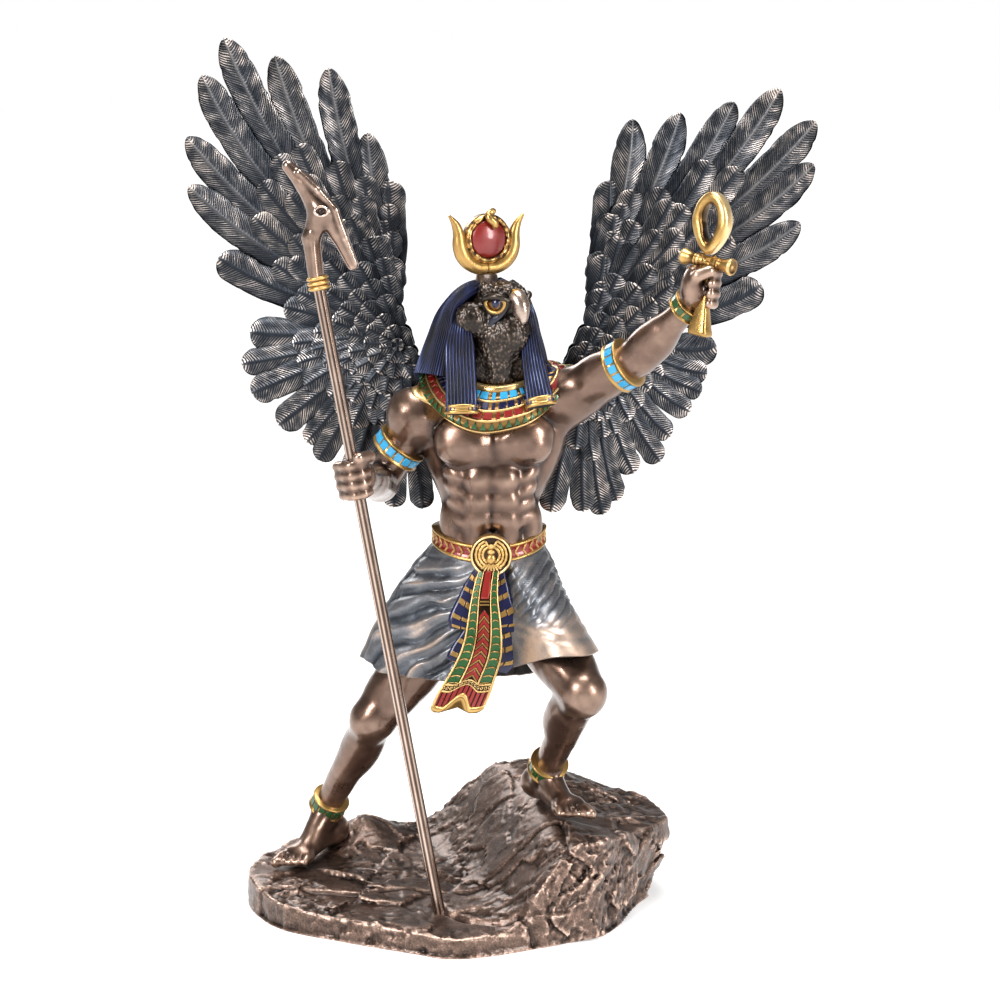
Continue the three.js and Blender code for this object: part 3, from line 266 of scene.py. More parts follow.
def field_of(forms, cell):
    """The joined forms' distance on a grid, with the grid's low corner"""
    low = np.min([f.centre - f.reach for f in forms], 0) - 3 * cell
    high = np.max([f.centre + f.reach for f in forms], 0) + 3 * cell
    axes = [np.arange(low[k], high[k] + cell, cell) for k in range(3)]
    field = np.full([len(a) for a in axes], FAR, np.float32)
    for form in forms:
        pad = form.reach + form.blend + 2 * cell
        spans = tuple(
            slice(*np.searchsorted(axes[k], [form.centre[k] - pad, form.centre[k] + pad])) for k in range(3))
        places = np.stack(np.meshgrid(*[axes[k][spans[k]] for k in range(3)], indexing="ij"), -1)
        near = form.distance(places)
        old = field[spans]
        h = np.maximum(form.blend - np.abs(old - near), 0) / form.blend
        field[spans] = np.minimum(old, near) - h * h * form.blend / 4
    return field, low


def skin(field, low, cell):
    grid = openvdb.FloatGrid(FAR)
    grid.copyFromArray(np.ascontiguousarray(field, np.float32))
    points, _, quads = grid.convertToPolygons(0.0, 0.0)
    return points * cell + low, quads.astype(np.int64)


def normals_of(points, quads):
    a, b, c, d = (points[quads[:, k]] for k in range(4))
    face = np.cross(c - a, d - b)
    total = np.stack([
        np.bincount(quads.ravel(), np.repeat(face[:, k], 4), len(points)) for k in range(3)], -1)
    return unit(total)


def softened(points, quads, rounds):
    edges = np.concatenate([quads[:, [k, (k + 1) % 4]] for k in range(4)])
    count = np.bincount(edges[:, 0], minlength=len(points))
    for _ in range(rounds):
        total = np.stack([
            np.bincount(edges[:, 0], points[edges[:, 1], k], len(points)) for k in range(3)], -1)
        points = points * 0.4 + total / np.maximum(count, 1)[:, None] * 0.6
    return points


def relief_of(points, quads, depth, rounds=5):
    """0 in hollows and 1 on ridges, with 0.5 where the surface is even"""
    out = ((points - softened(points, quads, rounds)) * normals_of(points, quads)).sum(-1)
    return np.clip(0.5 + out / depth, 0, 1)


# Pieces

class Shape:
    """Points, quads and triangles, with a finish for each face and a relief for each point"""
    def __init__(self):
        self.points, self.relief, self.faces, self.finishes, self.count = [], [], [], [], 0

    def add(self, points, faces, finish, relief=0.5):
        points = vec(points).reshape(-1, 3)
        faces = np.asarray(faces, np.int64)
        if faces.shape[1] == 3:
            faces = np.column_stack([faces, np.full(len(faces), -1 - self.count)])
        self.points.append(points)
        self.relief.append(np.broadcast_to(np.ravel(relief), len(points)))
        self.faces.append(faces + self.count)
        self.finishes.append(np.broadcast_to(finish, len(faces)))
        self.count += len(points)

    def add_grid(self, grid, finish, relief=0.5, wrap_rows=False, wrap_columns=False, capped=False):
        rows, columns = grid.shape[:2]
        self.add(grid, grid_faces(rows, columns, wrap_rows, wrap_columns), finish, relief)
        if capped:
            for ring in (grid[0], grid[-1]):
                n = np.arange(columns)
                fan = np.column_stack([n, (n + 1) % columns, np.full(columns, columns)])
                self.add(np.vstack([ring, ring.mean(0)]), fan, finish)

    def make(self, name, materials, recalc=True):
        """The finished piece. Recalc turns its faces outward, where they may not be already."""
        points, faces = np.concatenate(self.points), np.concatenate(self.faces)
        is_quad = faces[:, 3] >= 0
        lengths = np.where(is_quad, 4, 3)
        loops = faces.ravel()[np.column_stack([np.ones((len(faces), 3), bool), is_quad]).ravel()]
        mesh = bpy.data.meshes.new(name)
        mesh.vertices.add(len(points))
        mesh.vertices.foreach_set("co", (points * MM).astype(np.float32).ravel())
        mesh.loops.add(len(loops))
        mesh.loops.foreach_set("vertex_index", loops.astype(np.int32))
        mesh.polygons.add(len(faces))
        starts = np.concatenate([[0], np.cumsum(lengths)[:-1]])
        mesh.polygons.foreach_set("loop_start", starts.astype(np.int32))
        mesh.polygons.foreach_set("material_index", np.concatenate(self.finishes).astype(np.int32))
        mesh.polygons.foreach_set("use_smooth", np.full(len(faces), True))
        mesh.update(calc_edges=True)
        mesh.validate()
        relief = mesh.attributes.new("relief", "FLOAT", "POINT")
        relief.data.foreach_set("value", np.concatenate(self.relief).astype(np.float32))
        for material in materials:
            mesh.materials.append(material)
        piece = bpy.data.objects.new(name, mesh)
        bpy.context.scene.collection.objects.link(piece)
        if recalc:
            turn_outward(mesh)
        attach(piece, "root")
        return piece


def turn_outward(mesh):
    whole = bmesh.new()
    whole.from_mesh(mesh)
    bmesh.ops.recalc_face_normals(whole, faces=whole.faces)
    whole.to_mesh(mesh)
    whole.free()


def grid_faces(rows, columns, wrap_rows=False, wrap_columns=False):
    r, c = np.meshgrid(
        np.arange(rows if wrap_rows else rows - 1), np.arange(columns if wrap_columns else columns - 1),
        indexing="ij")
    down, across = (r + 1) % rows, (c + 1) % columns
    corners = [r * columns + c, r * columns + across, down * columns + across, down * columns + c]
    return np.stack(corners, -1).reshape(-1, 4)


def sweep(path, radii, sides, flatten=1.0, hint=(0, 1, 0)):
    """Rings round a path: radii across, and radii times flatten towards the hint"""
    path = vec(path)
    first, second = sideways(np.gradient(path, axis=0), hint)
    turn = circle(sides)[None, :, None]
    radii = np.broadcast_to(radii, len(path))[:, None, None]
    return path[:, None] + radii * (
        first[:, None] * np.cos(turn) * flatten + second[:, None] * np.sin(turn))


def rounded_tile(shape, place, corners, finish, low, high):
    """A raised enamel or gold tile on a surface that place(u, v, height) describes"""
    corners = vec(corners)
    middle = corners.mean(0)
    rings = [(1, low), (1, high - TILE_SHOULDER), (1 - TILE_ROUNDING, high)]
    points = [place(*(middle + (corners - middle) * share).T, height) for share, height in rings]
    count = len(corners)
    base = np.vstack([*points, place(*middle[:, None], high)])
    shape.add(base, grid_faces(len(rings), count, wrap_columns=True), finish)
    n = np.arange(count)
    fan = np.column_stack([2 * count + n, 2 * count + (n + 1) % count, np.full(count, 3 * count)])
    shape.add(base, fan, finish)


# Materials

# How far a finish's roughness wanders to both sides of its middle value
GLOSS_SPREAD = 0.08


def ramp_material(
        name, stops, metallic, roughness, patches=0.25, speckle=0.0, fine=0.0, coat=0.0, tint=None):
    """A finish whose colour follows the relief, with broad patches, small speckles and a fine bump"""
    material = bpy.data.materials.new(name)
    material.use_nodes = True
    nodes, links = material.node_tree.nodes, material.node_tree.links
    shader = nodes["Principled BSDF"]
    shader.inputs["Metallic"].default_value = metallic
    shader.inputs["Coat Weight"].default_value = coat
    shader.inputs["Coat Roughness"].default_value = 0.12

    def node(kind, **values):
        made = nodes.new(kind)
        for key, value in values.items():
            made.inputs[key].default_value = value
        return made

    def arithmetic(operation, source, value, added=None):
        made = nodes.new("ShaderNodeMath")
        made.operation = operation
        links.new(source, made.inputs[0])
        made.inputs[1].default_value = value
        if added is not None:
            links.new(added, made.inputs[2])
        return made.outputs[0]
    place = nodes.new("ShaderNodeTexCoord")
    relief = nodes.new("ShaderNodeAttribute")
    relief.attribute_name = "relief"
    broad = node("ShaderNodeTexNoise", Scale=120.0, Detail=4.0, Roughness=0.6)
    small = node("ShaderNodeTexNoise", Scale=1500.0, Detail=3.0, Roughness=0.6)
    for noise in (broad, small):
        links.new(place.outputs["Object"], noise.inputs["Vector"])
    shifted = arithmetic("MULTIPLY_ADD", broad.outputs["Fac"], patches, relief.outputs["Fac"])
    centred = arithmetic("SUBTRACT", shifted, (patches + speckle) / 2)
    ramp = nodes.new("ShaderNodeValToRGB")
    elements = ramp.color_ramp.elements
    while len(elements) < len(stops):
        elements.new(0.5)
    for element, (position, colour) in zip(elements, stops):
        element.position = position
        element.color = (*colour, 1)
    links.new(arithmetic("MULTIPLY_ADD", small.outputs["Fac"], speckle, centred), ramp.inputs[0])
    colour = ramp.outputs["Color"]
    if tint:
        wide = node("ShaderNodeTexNoise", Scale=35.0, Detail=2.0)
        links.new(place.outputs["Object"], wide.inputs["Vector"])
        mixer = nodes.new("ShaderNodeMix")
        mixer.data_type, mixer.blend_type = "RGBA", "MULTIPLY"
        links.new(wide.outputs["Fac"], mixer.inputs["Factor"])
        links.new(colour, mixer.inputs["A"])
        mixer.inputs["B"].default_value = (*tint, 1)
        colour = mixer.outputs["Result"]
    links.new(colour, shader.inputs["Base Color"])
    gloss = node("ShaderNodeMapRange", **{
        "From Min": 0.3, "From Max": 0.7, "To Min": roughness - GLOSS_SPREAD,
        "To Max": roughness + GLOSS_SPREAD})
    links.new(broad.outputs["Fac"], gloss.inputs["Value"])
    links.new(gloss.outputs[0], shader.inputs["Roughness"])
    if fine > 0:
        bump = node("ShaderNodeBump", Strength=fine, Distance=0.0002)
        links.new(small.outputs["Fac"], bump.inputs["Height"])
        links.new(bump.outputs["Normal"], shader.inputs["Normal"])
    return material


BRONZE = ramp_material(
    "polished_bronze",
    [(0.15, (0.014, 0.007, 0.005)), (0.4, (0.085, 0.048, 0.034)), (0.6, (0.165, 0.1, 0.072)),
     (0.9, (0.4, 0.27, 0.2))],
    0.9, 0.32, patches=0.3, fine=0.12, coat=0.45)
ROCK = ramp_material(
    "rock_bronze",
    [(0.16, (0.006, 0.004, 0.003)), (0.4, (0.06, 0.038, 0.029)), (0.6, (0.17, 0.108, 0.082)),
     (0.88, (0.75, 0.54, 0.43))],
    0.85, 0.38, patches=0.3, speckle=0.5, fine=0.6, coat=0.2)
FEATHER = ramp_material(
    "feather_patina",
    [(0.08, (0.002, 0.002, 0.0025)), (0.34, (0.02, 0.022, 0.026)), (0.6, (0.115, 0.1, 0.09)),
     (0.88, (0.8, 0.63, 0.52))],
    0.9, 0.4, patches=0.25, speckle=0.3, fine=0.2, coat=0.08, tint=(0.72, 0.88, 1.08))
PLUMAGE = ramp_material(
    "head_plumage",
    [(0.15, (0.006, 0.004, 0.003)), (0.42, (0.04, 0.028, 0.021)), (0.68, (0.17, 0.125, 0.1)),
     (0.95, (0.75, 0.64, 0.54))],
    0.8, 0.34, patches=0.25, speckle=0.35, fine=0.3, coat=0.25)
WIG = ramp_material(
    "wig_blue",
    [(0.12, (0.001, 0.0012, 0.005)), (0.45, (0.004, 0.007, 0.036)), (0.7, (0.013, 0.022, 0.092)),
     (0.98, (0.2, 0.25, 0.42))],
    0.25, 0.42, patches=0.3, fine=0.15, coat=0.08)
KILT = ramp_material(
    "kilt_patina",
    [(0.1, (0.012, 0.012, 0.014)), (0.36, (0.06, 0.068, 0.082)), (0.58, (0.17, 0.17, 0.18)),
     (0.84, (0.5, 0.36, 0.27))],
    0.7, 0.42, patches=0.35, speckle=0.2, fine=0.25, coat=0.35)
GOLD = ramp_material(
    "gold_paint",
    [(0.1, (0.02, 0.009, 0.004)), (0.34, (0.22, 0.115, 0.03)), (0.6, (0.54, 0.33, 0.105)),
     (0.95, (0.98, 0.78, 0.44))],
    0.85, 0.32, fine=0.3, coat=0.2)
COPPER = ramp_material(
    "pale_copper",
    [(0.15, (0.02, 0.012, 0.008)), (0.42, (0.12, 0.075, 0.055)), (0.62, (0.3, 0.2, 0.15)),
     (0.92, (0.8, 0.64, 0.54))],
    0.95, 0.24, fine=0.1, coat=0.5)
BEAK = ramp_material(
    "beak_silver",
    [(0.15, (0.06, 0.036, 0.025)), (0.45, (0.28, 0.19, 0.145)), (0.7, (0.58, 0.48, 0.41))],
    0.88, 0.28, fine=0.1, coat=0.4)
RED = ramp_material("enamel_red", [(0.1, (0.02, 0.002, 0.002)), (0.6, (0.26, 0.013, 0.009))], 0.2, 0.3,
                    coat=0.4)
GREEN = ramp_material("enamel_green", [(0.1, (0.002, 0.008, 0.003)), (0.6, (0.018, 0.085, 0.02))], 0.2, 0.3,
                      coat=0.3)
TURQUOISE = ramp_material(
    "enamel_turquoise", [(0.1, (0.006, 0.06, 0.12)), (0.6, (0.03, 0.34, 0.62))], 0.05, 0.3, coat=0.3)
NAVY = ramp_material("enamel_navy", [(0.1, (0.001, 0.0015, 0.008)), (0.6, (0.006, 0.007, 0.044))], 0.2, 0.3,
                     coat=0.3)
# Near black, painted on hollow insides and undersides as shade
PAINTED_SHADE = ramp_material("painted_shade_hollow", [(0.2, (0.004, 0.003, 0.0025)), (0.6, (0.018, 0.013, 0.011))], 0.5, 0.5)


# The bare body

def torso_forms():
    forms = [
        pebble((9, 1, 103), (16.3, 11, 13), 4), pebble((8.6, 0.5, 121), (14.8, 10.2, 17), 4),
        pebble((8.6, 0.2, 113.5), (16.6, 12.2, 9.5), 4),
        pebble((9.1, 1, 138), (17, 12, 17), 5), pebble((10.2, 2, 150), (20.2, 11, 10), 5),
        limb((-7, 3, 156), (28, 3, 161.5), 6.2, 6.6, 5), limb((12, 1, 158), (11.2, -0.5, 170), 8.2, 7.2, 5),
        limb((2, 7, 160), (9, 4, 168), 5, 4, 4), limb((22, 7, 162), (15, 4, 169), 5, 4, 4),
    ]
    middle = 10.2
    for side in (-1, 1):
        forms += [
            muscle((middle + side * 20.5, 4, 157), (middle - 1 + side * 12.6, 3, 131), 7, 5, 3, (side, 0, 0)),
            pebble((middle + side * 8.8, -7.4, 148.6 + side * 0.5), (9.6, 5.4, 7.4), 1.8,
                   (1, 0.1 * side, side * 0.24)),
            pebble((middle + side * 11.5, -7.2, 146), (6, 4.6, 4.6), 2.2),
            muscle((middle - 1 + side * 12.6, -4.4, 129), (middle - 1 + side * 11.6, -2.4, 112), 3.8, 4.4,
                   2.2),
            muscle((middle + side * 7, 12, 158), (middle + side * 6, 9.5, 118), 5, 3, 3),
            muscle((middle + side * 4, 13, 160), (middle + side * 15, 12.5, 150), 4, 1.6, 2),
            muscle((middle - 0.6 + side * 4.4, -8.7, 139), (middle - 0.6 + side * 3.8, -8.1, 108), 4.4, 2.9,
                   1.4),
        ]
        for row, (z, tall) in enumerate(((136.8, 3.5), (130.4, 3.0), (124.6, 3.0))):
            forms.append(pebble((middle - 0.6 + side * 4.1, -9.5 + row * 0.25, z), (3.9, 2.5, tall), 2.0))
        for row in range(4):
            rib = vec((middle - 0.8 + side * (14.4 - row * 0.7), -6.0, 140 - row * 4.6))
            forms.append(muscle(rib, rib + (-side * 5.6, -2.8, -3.6), 1.9, 1.7, 1.8))
    return forms


def fist_forms(middle, axis, palm, first_turn, last_turn, bar_radius, thumb):
    along = unit(axis)
    side, back = sideways(axis, (1, 0, 0))

    def spot(turn, radius, lift):
        a = math.radians(turn)
        return vec(middle) + along * lift + side * radius * math.cos(a) + back * radius * math.sin(a)
    to_palm = spot(palm, 1, 0) - middle
    forms = [pebble(spot(palm, 3.6, 0), (3.6, 5.2, 6.4), 2, to_palm, np.cross(along, to_palm))]
    stops = 4
    for finger in range(4):
        lift = (1.5 - finger) * FINGER_PITCH
        girth = FINGER_RADIUS * (0.88 if finger == 3 else 0.97)
        radius = bar_radius + girth * 1.05
        for n in range(stops):
            start, end = (first_turn + (last_turn - first_turn) * (n + k) / stops for k in (0, 1))
            # The knuckles stand out at the root of the fingers
            knuckle = spot(start, radius + (1.2 if n == 0 else 0), lift)
            forms.append(limb(knuckle, spot(end, radius, lift), girth, girth * 0.93, 0.35))
    for n in range(len(thumb) - 1):
        forms.append(limb(spot(*thumb[n]), spot(*thumb[n + 1]), FINGER_RADIUS * 1.12, FINGER_RADIUS, 0.5))
    return forms


def arm_forms():
    right, left = RIGHT_ARM, LEFT_ARM
    right_fist = rod_at(FIST_HEIGHT)
    left_fist = ANKH_BAR - unit(ANKH_UP) * LEFT_GRIP
    right_thumb = [(60, 4.6, 2.5), (10, 5.2, 5.6), (-60, 4.4, 6.4)]
    left_thumb = [(205, 4.6, 0), (235, 4.8, 3.4), (275, 4.2, 5)]
    upper_right, fore_right = (right["shoulder"], right["elbow"]), (right["elbow"], right["wrist"])
    upper_left, fore_left = (left["shoulder"], left["elbow"]), (left["elbow"], left["wrist"])
    return [
        pebble((-14.2, 1.5, 154.8), (9.4, 8.8, 8.6), 3, (0.5, 0, -0.86)),
        limb(*upper_right, 6.6, 5.2, 2.5),
        muscle(mix(*upper_right, 0.1), mix(*upper_right, 0.95), 4.6, 6.8, 2),
        muscle(mix(*upper_right, 0.25) + (-2, -3.4, 0), mix(*upper_right, 0.9) + (-1, -3, 0), 3.6, 3, 1.4),
        limb(*fore_right, 5.4, 3.6, 2),
        muscle(mix(*fore_right, -0.1), mix(*fore_right, 0.75), 5.6, 4.8, 2, (0, 0, 1)),
        limb(right["wrist"], right_fist + (1, 5.5, 0), 3.6, 4.4, 2),
        *fist_forms(right_fist, ROD_TOP - ROD_FOOT, 85, 175, 345, ROD_RADIUS, right_thumb),
        pebble((30.5, 1.5, 161.5), (9.2, 8.8, 8.2), 3, (0.8, -0.3, 0.5)),
        limb(*upper_left, 7.2, 5.6, 3),
        muscle(mix(*upper_left, 0.05), mix(*upper_left, 0.95), 7.4, 5.4, 2),
        muscle(mix(*upper_left, 0.3) + (0, -3, 2.6), mix(*upper_left, 0.92) + (0, -2, 2), 3.8, 3.4, 1.5),
        muscle((25, 5, 150), (46, -3, 166), 5, 4.6, 3),
        limb(*fore_left, 5.5, 3.7, 2),
        muscle(mix(*fore_left, -0.15), mix(*fore_left, 0.7), 6.2, 5.2, 2),
        limb(left["wrist"], left_fist + (-2.6, 1.6, -1), 3.7, 4, 2),
        *fist_forms(left_fist, ANKH_UP, 165, 115, -60, 1.4, left_thumb),
    ]


def foot_forms(foot, ankle, inward):
    heel, ball, toes, ankle = vec(foot["heel"]), vec(foot["ball"]), vec(foot["toes"]), vec(ankle)
    ahead = unit(ball - heel)
    across = unit(np.cross(ahead, (0, 0, inward)))
    forms = [
        pebble(heel, (5.2, 4.4, 4.8), 2, ahead, across), limb(heel, ball, 3.9, 3.0, 2.5),
        limb(ankle, mix(ball, heel, 0.15), 4.2, 2.8, 3),
        limb(ball + across * 3, ball - across * 3.2, 2.7, 2.2, 2.5),
        pebble(ankle + across * 3.6 - (0, 0, 1.5), (1.9, 1.9, 2.1), 1.2),
        pebble(ankle - across * 3.4 - (0, 0, 2.5), (1.9, 1.9, 2.1), 1.2),
    ]
    for toe in range(5):
        offset = 3.8 - toe * 1.95
        girth = 1.65 if toe == 0 else 1.2
        root = ball + across * offset
        tip = ball + (toes - ball) * (1 - 0.13 * toe) + across * offset * 1.12
        knuckle = mix(root, tip, 0.55) + (0, 0, 0.7)
        forms += [limb(root, knuckle, girth, girth, 0.6), limb(knuckle, tip, girth, girth * 1.05, 0.35)]
    return forms


def leg_forms(leg, foot, inward):
    hip, knee, ankle = vec(leg["hip"]), vec(leg["knee"]), vec(leg["ankle"])
    shin, to_hip = ankle - knee, hip - knee
    back = unit(to_hip - unit(shin) * (to_hip @ unit(shin)))
    thigh_back = unit(-shin + unit(to_hip) * (shin @ unit(to_hip)))
    across = unit(np.cross(to_hip, shin))
    forms = [
        limb(hip, knee, 11, 7, 4), muscle(mix(hip, knee, 0.15), mix(hip, knee, 0.95), 8.6, 8, 3),
        pebble(knee - back * 2.4, (5.6, 4.6, 5.6), 2.5, shin, back), limb(knee, ankle, 6, 4.2, 3),
        muscle(mix(knee, ankle, 0.05), mix(knee, ankle, 0.8), 3, 5, 2, back),
        pebble(knee - back * 5.2 + unit(shin) * 1.2, (3.4, 2.2, 3.2), 1.6, shin, back),
        *foot_forms(foot, ankle, inward),
    ]
    for side in (-1, 1):
        upper = mix(knee, hip, 0.42) + across * side * 4.2 + thigh_back * 2.2
        lower = mix(knee, hip, 0.02) + across * side * 3.4 + thigh_back * 2
        belly = mix(knee, ankle, 0.33) + back * 2.8 + across * side * 2.2
        forms += [muscle(upper, lower, 3.9, 3.9, 2), pebble(belly, (12.5, 4.8, 4.4), 2, shin, back)]
    return forms


# How fine the grids are that the soft forms are skinned on
BODY_CELL = 0.75
HEAD_CELL = 0.3
BEAK_CELL = 0.22
BEETLE_CELL = 0.16
SCEPTRE_CELL = 0.35


def make_body():
    forms = [
        *torso_forms(), *leg_forms(RIGHT_LEG, RIGHT_FOOT, 1), *leg_forms(LEFT_LEG, LEFT_FOOT, -1),
        *arm_forms(),
    ]
    field, low = field_of(forms, BODY_CELL)
    points, quads = skin(field, low, BODY_CELL)
    navel = size((points - NAVEL) * (1, 0.6, 1.3))
    points[:, 1] += 1.1 * np.exp(-navel ** 2)
    points = points + normals_of(points, quads) * (0.13 * rough(points, 4.2, 6, 2))[:, None]
    shape = Shape()
    # The navel is painted darker, as shade in its hollow
    shape.add(points, quads, 0, relief_of(points, quads, 0.9, 8) - 0.15 * np.exp(-(navel / 1.1) ** 2))
    return shape.make("body", [BRONZE], recalc=False)


body = make_body()
body_tree = BVHTree.FromPolygons(
    [Vector(v.co) / MM for v in body.data.vertices], [tuple(p.vertices) for p in body.data.polygons])


# The head

ahead = vec((math.sin(HEAD_TURN), -math.cos(HEAD_TURN), 0))
beside = vec((math.cos(HEAD_TURN), math.sin(HEAD_TURN), 0))


def on_head(forward, side, up):
    return SKULL + ahead * forward + beside * side + (0, 0, up)


def make_head():
    forms = [
        limb((12, -1.4, 160), (11.6, -3.4, 180), 7.8, 8.0, 3),
        pebble(SKULL, (9, 7.6, 8), 3, ahead, beside),
        pebble(on_head(5.2, 0, -6.6), (5.2, 5.4, 4.6), 2.2, ahead, beside),
        pebble((3.4, -6.8, 185.6), (5.0, 3.4, 5.2), 1.4),
        pebble(on_head(7.6, 0, -8.4), (5.0, 5.2, 6.4), 3.5, ahead, beside),
        limb(on_head(5, 0, 3.2), on_head(8.6, 0, 2), 4.2, 3.2, 2),
        limb(on_head(5.5, 0, -2.8), on_head(8.6, 0, -3.6), 3, 2.2, 1.5),
    ]
    for side in (-1, 1):
        forms.append(limb(on_head(0.5, side * 5.6, 6.0), on_head(8.2, side * 2.8, 4.8), 1.7, 1.2, 0.8))
        cheek = on_head(6.2, -5.2 if side < 0 else 4.4, 1.4)
        forms.append(pebble(cheek, (3.6, 1.6, 3.4), 1.2, ahead, beside))
    field, low = field_of(forms, HEAD_CELL)
    points, quads = skin(field, low, HEAD_CELL)
    normals = normals_of(points, quads)
    bald = np.zeros(len(points))
    for side in (-1, 1):
        around_eye = (points - on_head(7.4, side * 6.0, 0.6)) / (4.2, 4.2, 5.0)
        bald = np.maximum(bald, np.exp(-size(around_eye) ** 4))
    spot = spot_distance(points * (1, 1, 0.75), 0.86, 5)
    tuft = np.clip(1.15 - spot / 0.45, 0, 1) * (0.75 + 0.35 * grain(points, 2.5, 8))
    tuft = (tuft + 0.12 * grain(points, 0.6, 3)) * (1 - bald)
    brow = np.exp(-((points[:, 2] - 194.4) / 2.2) ** 2)
    points = points + normals * ((0.34 + 0.1 * brow) * tuft)[:, None]
    shape = Shape()
    shape.add(points, quads, 0, np.clip(0.24 + (0.6 + 0.3 * brow) * tuft, 0, 1))
    return shape.make("head", [PLUMAGE], recalc=False)


def make_beak():
    """A smooth hook over the lower half, with a gold cere at its root"""
    count = 14
    spine = through([
        on_head(6.6, 0, 2.8), on_head(8.9, 0, 2.9), on_head(10.7, 0, 1.4), on_head(11.8, 0, -0.9),
        on_head(12.1, 0, -3.0), on_head(11.7, 0, -4.7)], count)
    girths = np.interp(
        np.linspace(0, 1, count), [0, 0.25, 0.5, 0.75, 0.92, 1], [2.7, 2.8, 2.4, 1.5, 0.8, 0.25])
    upper = [limb(a, b, r, s, 0.5) for a, b, r, s in zip(spine, spine[1:], girths, girths[1:])]
    upper.append(limb(on_head(7.4, 0, 0), on_head(10.2, 0, -1.2), 2.7, 2.0, 1.2))
    lower = [limb(on_head(7.4, 0, -3.0), on_head(10.3, 0, -3.7), 2.1, 1.0, 0.8)]
    shape = Shape()
    for forms in (upper, lower):
        field, low = field_of(forms, BEAK_CELL)
        points, quads = skin(field, low, BEAK_CELL)
        root = ((points - SKULL) @ ahead < 8.7 + 0.3 * (points[:, 2] - SKULL[2]))[quads].all(1)
        shape.add(points, quads, np.where(root, 1, 0), relief_of(points, quads, 0.35, 6))
    return shape.make("beak", [BEAK, GOLD], recalc=False)


def make_eyes():
    """Gold-rimmed almond eyes with a dark line round them and a drop-shaped mark beneath"""
    shape = Shape()
    turn = np.linspace(0, TAU, 56, endpoint=False)
    up = vec((0, 0, 1))
    # The far eye sits a little closer in, behind the beak
    for side, middle in ((-1, on_head(6.9, -6.4, 1.6)), (1, on_head(6.2, 5.7, 1.6))):
        out = unit(beside * side + ahead * 0.5)
        right = unit(ahead - out * (ahead @ out))

        def at(along, lift, height):
            return middle + right * along + up * lift + out * height

        def oval(wide, tall, height):
            pinch = (1 - 0.25 * np.cos(turn) ** 4) * np.where(np.sin(turn) > 0, 0.72, 1)
            return middle + out * height + (
                right * wide * np.cos(turn)[:, None] + up * (tall * np.sin(turn) * pinch)[:, None])
        dark = [(4.3, 4.0, -2.2), (4.3, 4.0, 0.1), (4.0, 3.7, 0.45), (3.6, 3.3, 0.5)]
        rim = [(3.6, 3.3, -1.4), (3.6, 3.3, 0.5), (3.35, 3.05, 0.95), (2.8, 2.4, 0.95), (2.55, 2.1, 0.5),
               (2.55, 2.1, -1.4)]
        ball = [(2.5 * math.cos(a), 2.1 * math.cos(a), -0.2 + 1.4 * math.sin(a))
                for a in np.linspace(0, 1.5, 8)]
        for rings, finish, relief in ((dark, 2, 0.3), (rim, 0, 0.5), (ball, 0, 0.3)):
            shape.add_grid(np.stack([oval(*ring) for ring in rings]), finish, relief, wrap_columns=True)
        dome = [(1.6 * math.cos(a), 0.3 + 1.1 * math.sin(a)) for a in np.linspace(0, 1.5, 7)]
        shape.add_grid(turned(dome, turn, at(0.2, 0.1, 0), right, up, out), 1, wrap_columns=True)
        # The lids close over the top, and the mark runs down the cheek to a point
        lid = through([at(-4.6, 0, -0.6), at(-2.6, 1.7, 0.8), at(1.2, 2.1, 1.0), at(4.2, 0.8, -0.2)], 24)
        lid_girth = 1.1 * np.sin(np.linspace(0.3, 2.9, 24)) ** 0.6
        shape.add_grid(sweep(lid, lid_girth, 10), 2, 0.4, wrap_columns=True)
        mark = through([
            at(3.4, -1.6, 0.1), at(1.4, -3.8, 0.1), at(-1.2, -5.4, -0.1), at(-1.8, -8.6, -0.3)], 24)
        mark_girth = np.interp(np.linspace(0, 1, 24), [0, 0.35, 0.6, 0.85, 1], [0.4, 0.7, 1.3, 0.9, 0.2])
        shape.add_grid(sweep(mark, mark_girth, 12, 0.5, out), 1, 0.2, wrap_columns=True)
    return shape.make("eyes", [GOLD, NAVY, PLUMAGE])


# The wig

WIG_RINGS = [
    [(11.6, -3.0, 197.0), (8.6, -2.4, 197.4), (6.4, -0.8, 197.5), (6.4, 1.4, 197.4), (7.6, 2.8, 197.2),
     (9.2, 3.2, 197.2), (10.8, 2.8, 197.2), (11.8, 1.6, 197.3), (12.2, 0.2, 197.3)],
    [(5.0, -5.4, 194.6), (1.8, -3.2, 195.2), (-0.4, 1.0, 194.6), (0.6, 6.4, 193.4), (4, 10.2, 192.6),
     (9.4, 12, 192.2), (14.6, 11.2, 192.4), (18.4, 8, 193), (19.2, 3.4, 193.6)],
    [(-1.2, -6.8, 189.4), (-4.2, -3.0, 189), (-6.4, 3, 187.6), (-5.4, 9, 186), (0, 13.4, 184.6),
     (8, 15.4, 184), (16, 14.4, 184.6), (21.2, 10, 186), (22.2, 3, 187.4)],
    [(-3.4, -7.6, 179), (-7.6, -3.4, 179), (-10.2, 3, 178.2), (-9.2, 10, 176), (-3, 15, 174.4),
     (7, 17, 173.6), (17, 16, 174.4), (23.4, 11, 176), (24.8, 3.4, 178.4)],
    [(-5.2, -8.0, 168.4), (-10.8, -2.4, 168.6), (-14.0, 5, 167.4), (-12.4, 11.6, 164), (-5, 15.6, 161),
     (6, 17.6, 159.6), (17, 16.6, 160.2), (24.8, 11.6, 164), (26.6, 4, 167.6)],
]


